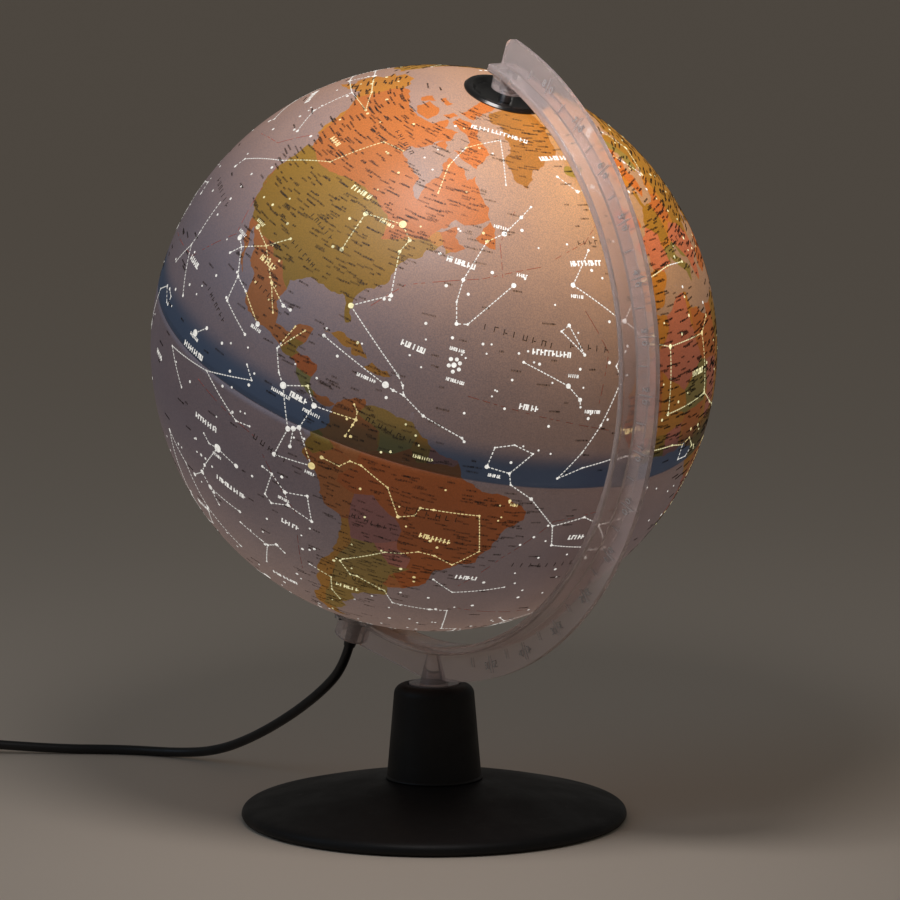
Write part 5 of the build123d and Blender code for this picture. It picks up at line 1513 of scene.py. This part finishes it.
# ------------------------------------------------------------------ the arm's scale
@dataclass
class ArmScale:
    """Raised degree marks and numerals on both sides of the arm's web.

    Inner and outer are the web's radii about the ball's centre, and half is half its thickness. First,
    last and step are degrees from the north pin.
    """

    inner: float = 0.1358
    outer: float = 0.1482
    half: float = 0.0012
    proud: float = 0.00012
    first: int = 5
    last: int = 145
    step: int = 5
    long_tick: float = 0.0078
    short_tick: float = 0.0044
    short_shift: float = -0.0022
    tick_width: float = 0.00032
    digit: float = 0.0047
    digit_pitch: float = 0.0052
    digit_shift: float = -0.0004
    finish: Moulded = Moulded("raised_marks", (0.60, 0.57, 0.58), (0.66, 0.64, 0.65), (0.3, 0.45),
                              relief=0.00001)

    def mark_frame(self, turn: float, side: int) -> Matrix:
        """A frame on one side of the web: local X along the arm, Y outwards, Z off the web.

        Args:
            turn: degrees from the north pin.
            side: 1 or -1, the side of the web.

        Returns:
            The frame in the row frame.
        """
        t = math.radians(turn)
        out = Vector((math.sin(t), 0.0, math.cos(t)))
        face = Vector((0.0, float(side), 0.0))
        turned = Matrix((out.cross(face), out, face)).transposed()
        middle = (self.inner + self.outer) / 2
        return POLAR @ Matrix.Translation(out * middle + face * self.half) @ turned.to_4x4()

    def digits(self) -> dict[str, bpy.types.Mesh]:
        """A thin mesh of each numeral, centred on its own frame."""
        made = {}
        for figure in "0123456789":
            text = bpy.data.curves.new(f"digit_{figure}", "FONT")
            text.body, text.size, text.extrude = figure, self.digit, self.proud / 2
            text.align_x, text.align_y, text.resolution_u = "CENTER", "CENTER", 2
            holder = bpy.data.objects.new(f"digit_{figure}", text)
            bpy.context.scene.collection.objects.link(holder)
            made[figure] = frozen(holder)
        return made

    def build(self) -> None:
        """Makes the marks and the numerals of both sides."""
        material = self.finish.build()
        ticks = Stamps(Stamp.BAR)
        shapes = self.digits()
        joined = bmesh.new()
        for side in (-1, 1):
            for turn in range(self.first, self.last + 1, self.step):
                place = self.mark_frame(turn, side)
                tall, low = (self.short_tick, self.short_shift) if turn % 10 else (self.long_tick, 0.0)
                middle = place @ Matrix.Translation((0.0, low, 0.0))
                ticks.put(middle, (self.tick_width, tall, 2 * self.proud))
                if turn % 10:
                    continue
                spin = Matrix.Rotation(0.0 if turn <= 90 else math.pi, 4, "Z")
                for index, figure in enumerate(f"{abs(90 - turn):02d}"):
                    shift = ((index - 0.5) * self.digit_pitch, self.digit_shift, self.proud / 2)
                    digit = shapes[figure].copy()
                    digit.transform(place @ spin @ Matrix.Translation(shift))
                    joined.from_mesh(digit)
        numerals = bpy.data.meshes.new("arm_numerals")
        bmesh.ops.remove_doubles(joined, verts=joined.verts, dist=1e-7)
        joined.to_mesh(numerals)
        numerals.materials.clear()
        add_piece("arm_ticks", ticks.mesh(material), material, Body.STAND)
        add_piece("arm_numerals", numerals, material, Body.STAND)


# ------------------------------------------------------------------ the lead
@dataclass
class CordCoil:
    """The wound turns of the put-away lead: in through the lower layer, out through the upper one.

    Crossing is the share of a turn that a step to the next column or layer takes.
    """

    centre: Place = (-0.340, -0.100)
    start: float = -100.0
    turns: float = 7.0 + 1.0 / 6.0
    steps: int = 18
    outer: float = 0.03275
    pitch: float = 0.0045
    low: float = 0.00295
    columns: int = 4
    crossing: float = 0.34

    def place(self, turned: float) -> Place:
        """The radius and the height after some turns.

        Args:
            turned: turns wound so far.

        Returns:
            The radius and the height of the centreline.
        """
        whole = min(int(turned + 1e-9), 2 * self.columns - 1)
        along = max(0.0, (turned - whole - (1.0 - self.crossing)) / self.crossing)
        rise = math.sqrt(along * (2.0 - along))
        inner = self.outer - (self.columns - 1) * self.pitch
        if whole < self.columns - 1:
            return self.outer - (whole + along) * self.pitch, self.low
        if whole == self.columns - 1:
            return inner, self.low + rise * self.pitch
        out = whole - self.columns + math.sqrt(rise * (2.0 - rise))
        return inner + out * self.pitch, self.low + self.pitch

    def points(self) -> list[Vector]:
        """The control points of the turns, clockwise from above."""
        made = []
        for step in range(round(self.turns * self.steps) + 1):
            radius, height = self.place(step / self.steps)
            angle = math.radians(self.start - 360.0 * step / self.steps)
            radius /= math.cos(math.pi / self.steps) ** 0.93
            made.append(Vector((self.centre[0] + radius * math.cos(angle),
                                self.centre[1] + radius * math.sin(angle), height)))
        return made


@dataclass
class Lead:
    """A free stretch of the mains lead."""

    name: str
    points: list[Vector]
    nodes: tuple[str, ...]
    far_end: str
    carries: tuple[str, ...]
    thick: float = 0.0045

    def build(self, material: bpy.types.Material) -> None:
        """Lays the cord and hides the CAD pieces that it replaces."""
        curve = bpy.data.curves.new(self.name, "CURVE")
        curve.dimensions, curve.resolution_u = "3D", 8
        spline = curve.splines.new("NURBS")
        spline.points.add(len(self.points) - 1)
        for point, spot in zip(spline.points, self.points):
            point.co = (*spot, 1.0)
        spline.order_u = 3
        spline.use_endpoint_u = True
        piece = bpy.data.objects.new(self.name, curve)
        bpy.context.scene.collection.objects.link(piece)
        line = bpy.data.meshes.new_from_object(piece.evaluated_get(bpy.context.evaluated_depsgraph_get()))
        curve.bevel_depth = self.thick / 2
        curve.bevel_resolution = 4
        curve.use_fill_caps = True
        curve.materials.append(material)
        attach(piece, Body.STAND.value)
        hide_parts(*self.nodes)


@dataclass
class MainsLead:
    """The lead from the ball to the switch, and from the switch through the coil to the plug."""

    upper: tuple[Spot, ...] = (
        (-0.06141, 0, 0.06977), (-0.0658, 0, 0.0597), (-0.0788, -0.0003, 0.0476), (-0.103, -0.001, 0.0319),
        (-0.133, -0.0016, 0.0166), (-0.160, -0.003, 0.0063), (-0.184, -0.008, 0.00235),
        (-0.208, -0.023, 0.00235), (-0.231, -0.0495, 0.00235), (-0.252, -0.075, 0.005))
    lead: tuple[Spot, ...] = (
        (-0.28928, -0.11943, 0.005), (-0.300, -0.131, 0.0034), (-0.318, -0.1364, 0.00295))
    tail: tuple[Spot, ...] = ((-0.3752, -0.1012, 0.0070), (-0.3792, -0.0886, 0.0069))

    def build(self, material: bpy.types.Material) -> None:
        """Lays both stretches in the lead's rubber."""
        switch = ("switch_base", "switch_cover", "switch_screws", "switch_contacts", "switch_rocker")
        upper = [Vector(p) for p in self.upper]
        Lead("lead_to_switch", upper, ("cord_upper",), "fitting", switch).build(material)
        wound = [Vector(p) for p in self.lead] + CordCoil().points() + [Vector(p) for p in self.tail]
        Lead("lead_to_plug", wound, ("cord_lead", "cord_coil", "cord_tail"), "plug",
             ("cord_tie", "plug_body", "plug_pins")).build(material)


# ------------------------------------------------------------------ the studio
@dataclass(frozen=True)
class SoftLamp:
    """A round area lamp aimed at the ball, unseen by the camera."""

    name: str
    where: Spot
    size: float
    power: float
    colour: Colour

    def build(self) -> None:
        """Hangs the lamp."""
        light = bpy.data.lights.new(self.name, "AREA")
        light.shape, light.size, light.energy, light.color = "DISK", self.size, self.power, self.colour
        holder = bpy.data.objects.new(self.name, light)
        holder.location = self.where
        holder.rotation_mode = "QUATERNION"
        holder.rotation_quaternion = (CENTRE - Vector(self.where)).to_track_quat("-Z", "Y")
        holder.visible_camera = False
        bpy.context.scene.collection.objects.link(holder)


@dataclass(frozen=True)
class Studio:
    """The floor, the light and the camera; back is the direction from the object to the camera."""

    eye: Spot = (1.5458, -1.2545, 0.4177)
    back: Spot = (0.7681, -0.6279, 0.1256)
    lens: float = 181.04
    floor: Colour = (0.70, 0.61, 0.51)
    floor_reach: float = 30.0
    sky: Colour = (1.0, 0.95, 0.89)
    sky_strength: float = 0.10
    lamps: tuple[SoftLamp, ...] = (
        SoftLamp("key", (-0.5, -1.5, 1.1), 1.3, 2.4, (0.52, 0.74, 1.0)),
        SoftLamp("fill", (1.6, 0.6, 1.1), 1.5, 0.5, (1.0, 0.93, 0.86)),
        SoftLamp("top", (0.15, -0.15, 0.49), 0.12, 0.62, (1.0, 0.95, 0.94)),
    )

    def lay_floor(self) -> None:
        """Lays the plain pale floor."""
        reach = self.floor_reach
        mesh = bpy.data.meshes.new("floor")
        mesh.from_pydata([(-reach, -reach, 0), (reach, -reach, 0), (reach, reach, 0), (-reach, reach, 0)], [],
                         [(0, 1, 2, 3)])
        floor = bpy.data.objects.new("floor", mesh)
        bpy.context.scene.collection.objects.link(floor)
        material, _, shader = blank_material("pale_floor")
        shader.inputs["Base Color"].default_value = rgba(self.floor)
        shader.inputs["Roughness"].default_value = 0.7
        mesh.materials.append(material)

    def set_camera(self) -> None:
        """Sets up the camera and makes it the scene's."""
        camera = bpy.data.cameras.new("camera")
        camera.lens, camera.sensor_width = self.lens, 36.0
        camera.clip_start, camera.clip_end = 0.05, 50.0
        holder = bpy.data.objects.new("camera", camera)
        holder.location = self.eye
        holder.rotation_mode = "QUATERNION"
        holder.rotation_quaternion = (-Vector(self.back)).to_track_quat("-Z", "Y")
        bpy.context.scene.collection.objects.link(holder)
        bpy.context.scene.camera = holder

    def build(self) -> None:
        """Makes the floor, lights, world and camera."""
        scene = bpy.context.scene
        scene.view_settings.view_transform = "Standard"
        world = bpy.data.worlds.new("studio")
        world.use_nodes = True
        shade = world.node_tree.nodes["Background"]
        shade.inputs["Color"].default_value = rgba(self.sky)
        shade.inputs["Strength"].default_value = self.sky_strength
        scene.world = world
        self.lay_floor()
        for lamp in self.lamps:
            lamp.build()
        self.set_camera()


def dress_frame(finishes: dict[str, bpy.types.Material]) -> None:
    """Gives every carried-over CAD node the finish of its slot."""
    for part in frame["record"]["subparts"]:
        material = finishes.get(part["material_slot"])
        if material is None:
            continue
        for slot in frame["nodes"][part["node"]].material_slots:
            slot.material = material
        log.info("%s: %s", part["node"], material.name)


def main() -> None:
    """Builds the finishes, the studio, the lead, the arm's scale, the printed ball and its sky."""
    finishes = {name: finish.build() for name, finish in FINISHES.items()}
    Studio().build()
    dress_frame(finishes)
    MainsLead().build(finishes["cord_rubber"])
    ArmScale().build()
    printed = PrintedMap()
    shell = PrintedShell().build()
    PrintedHalf("printed_north", 1, 0.0161).build(printed, shell)
    PrintedHalf("printed_south", -1, 0.0181).build(printed, shell)
    PrintedSky(printed).build()


if __name__ == "__main__":
    main()
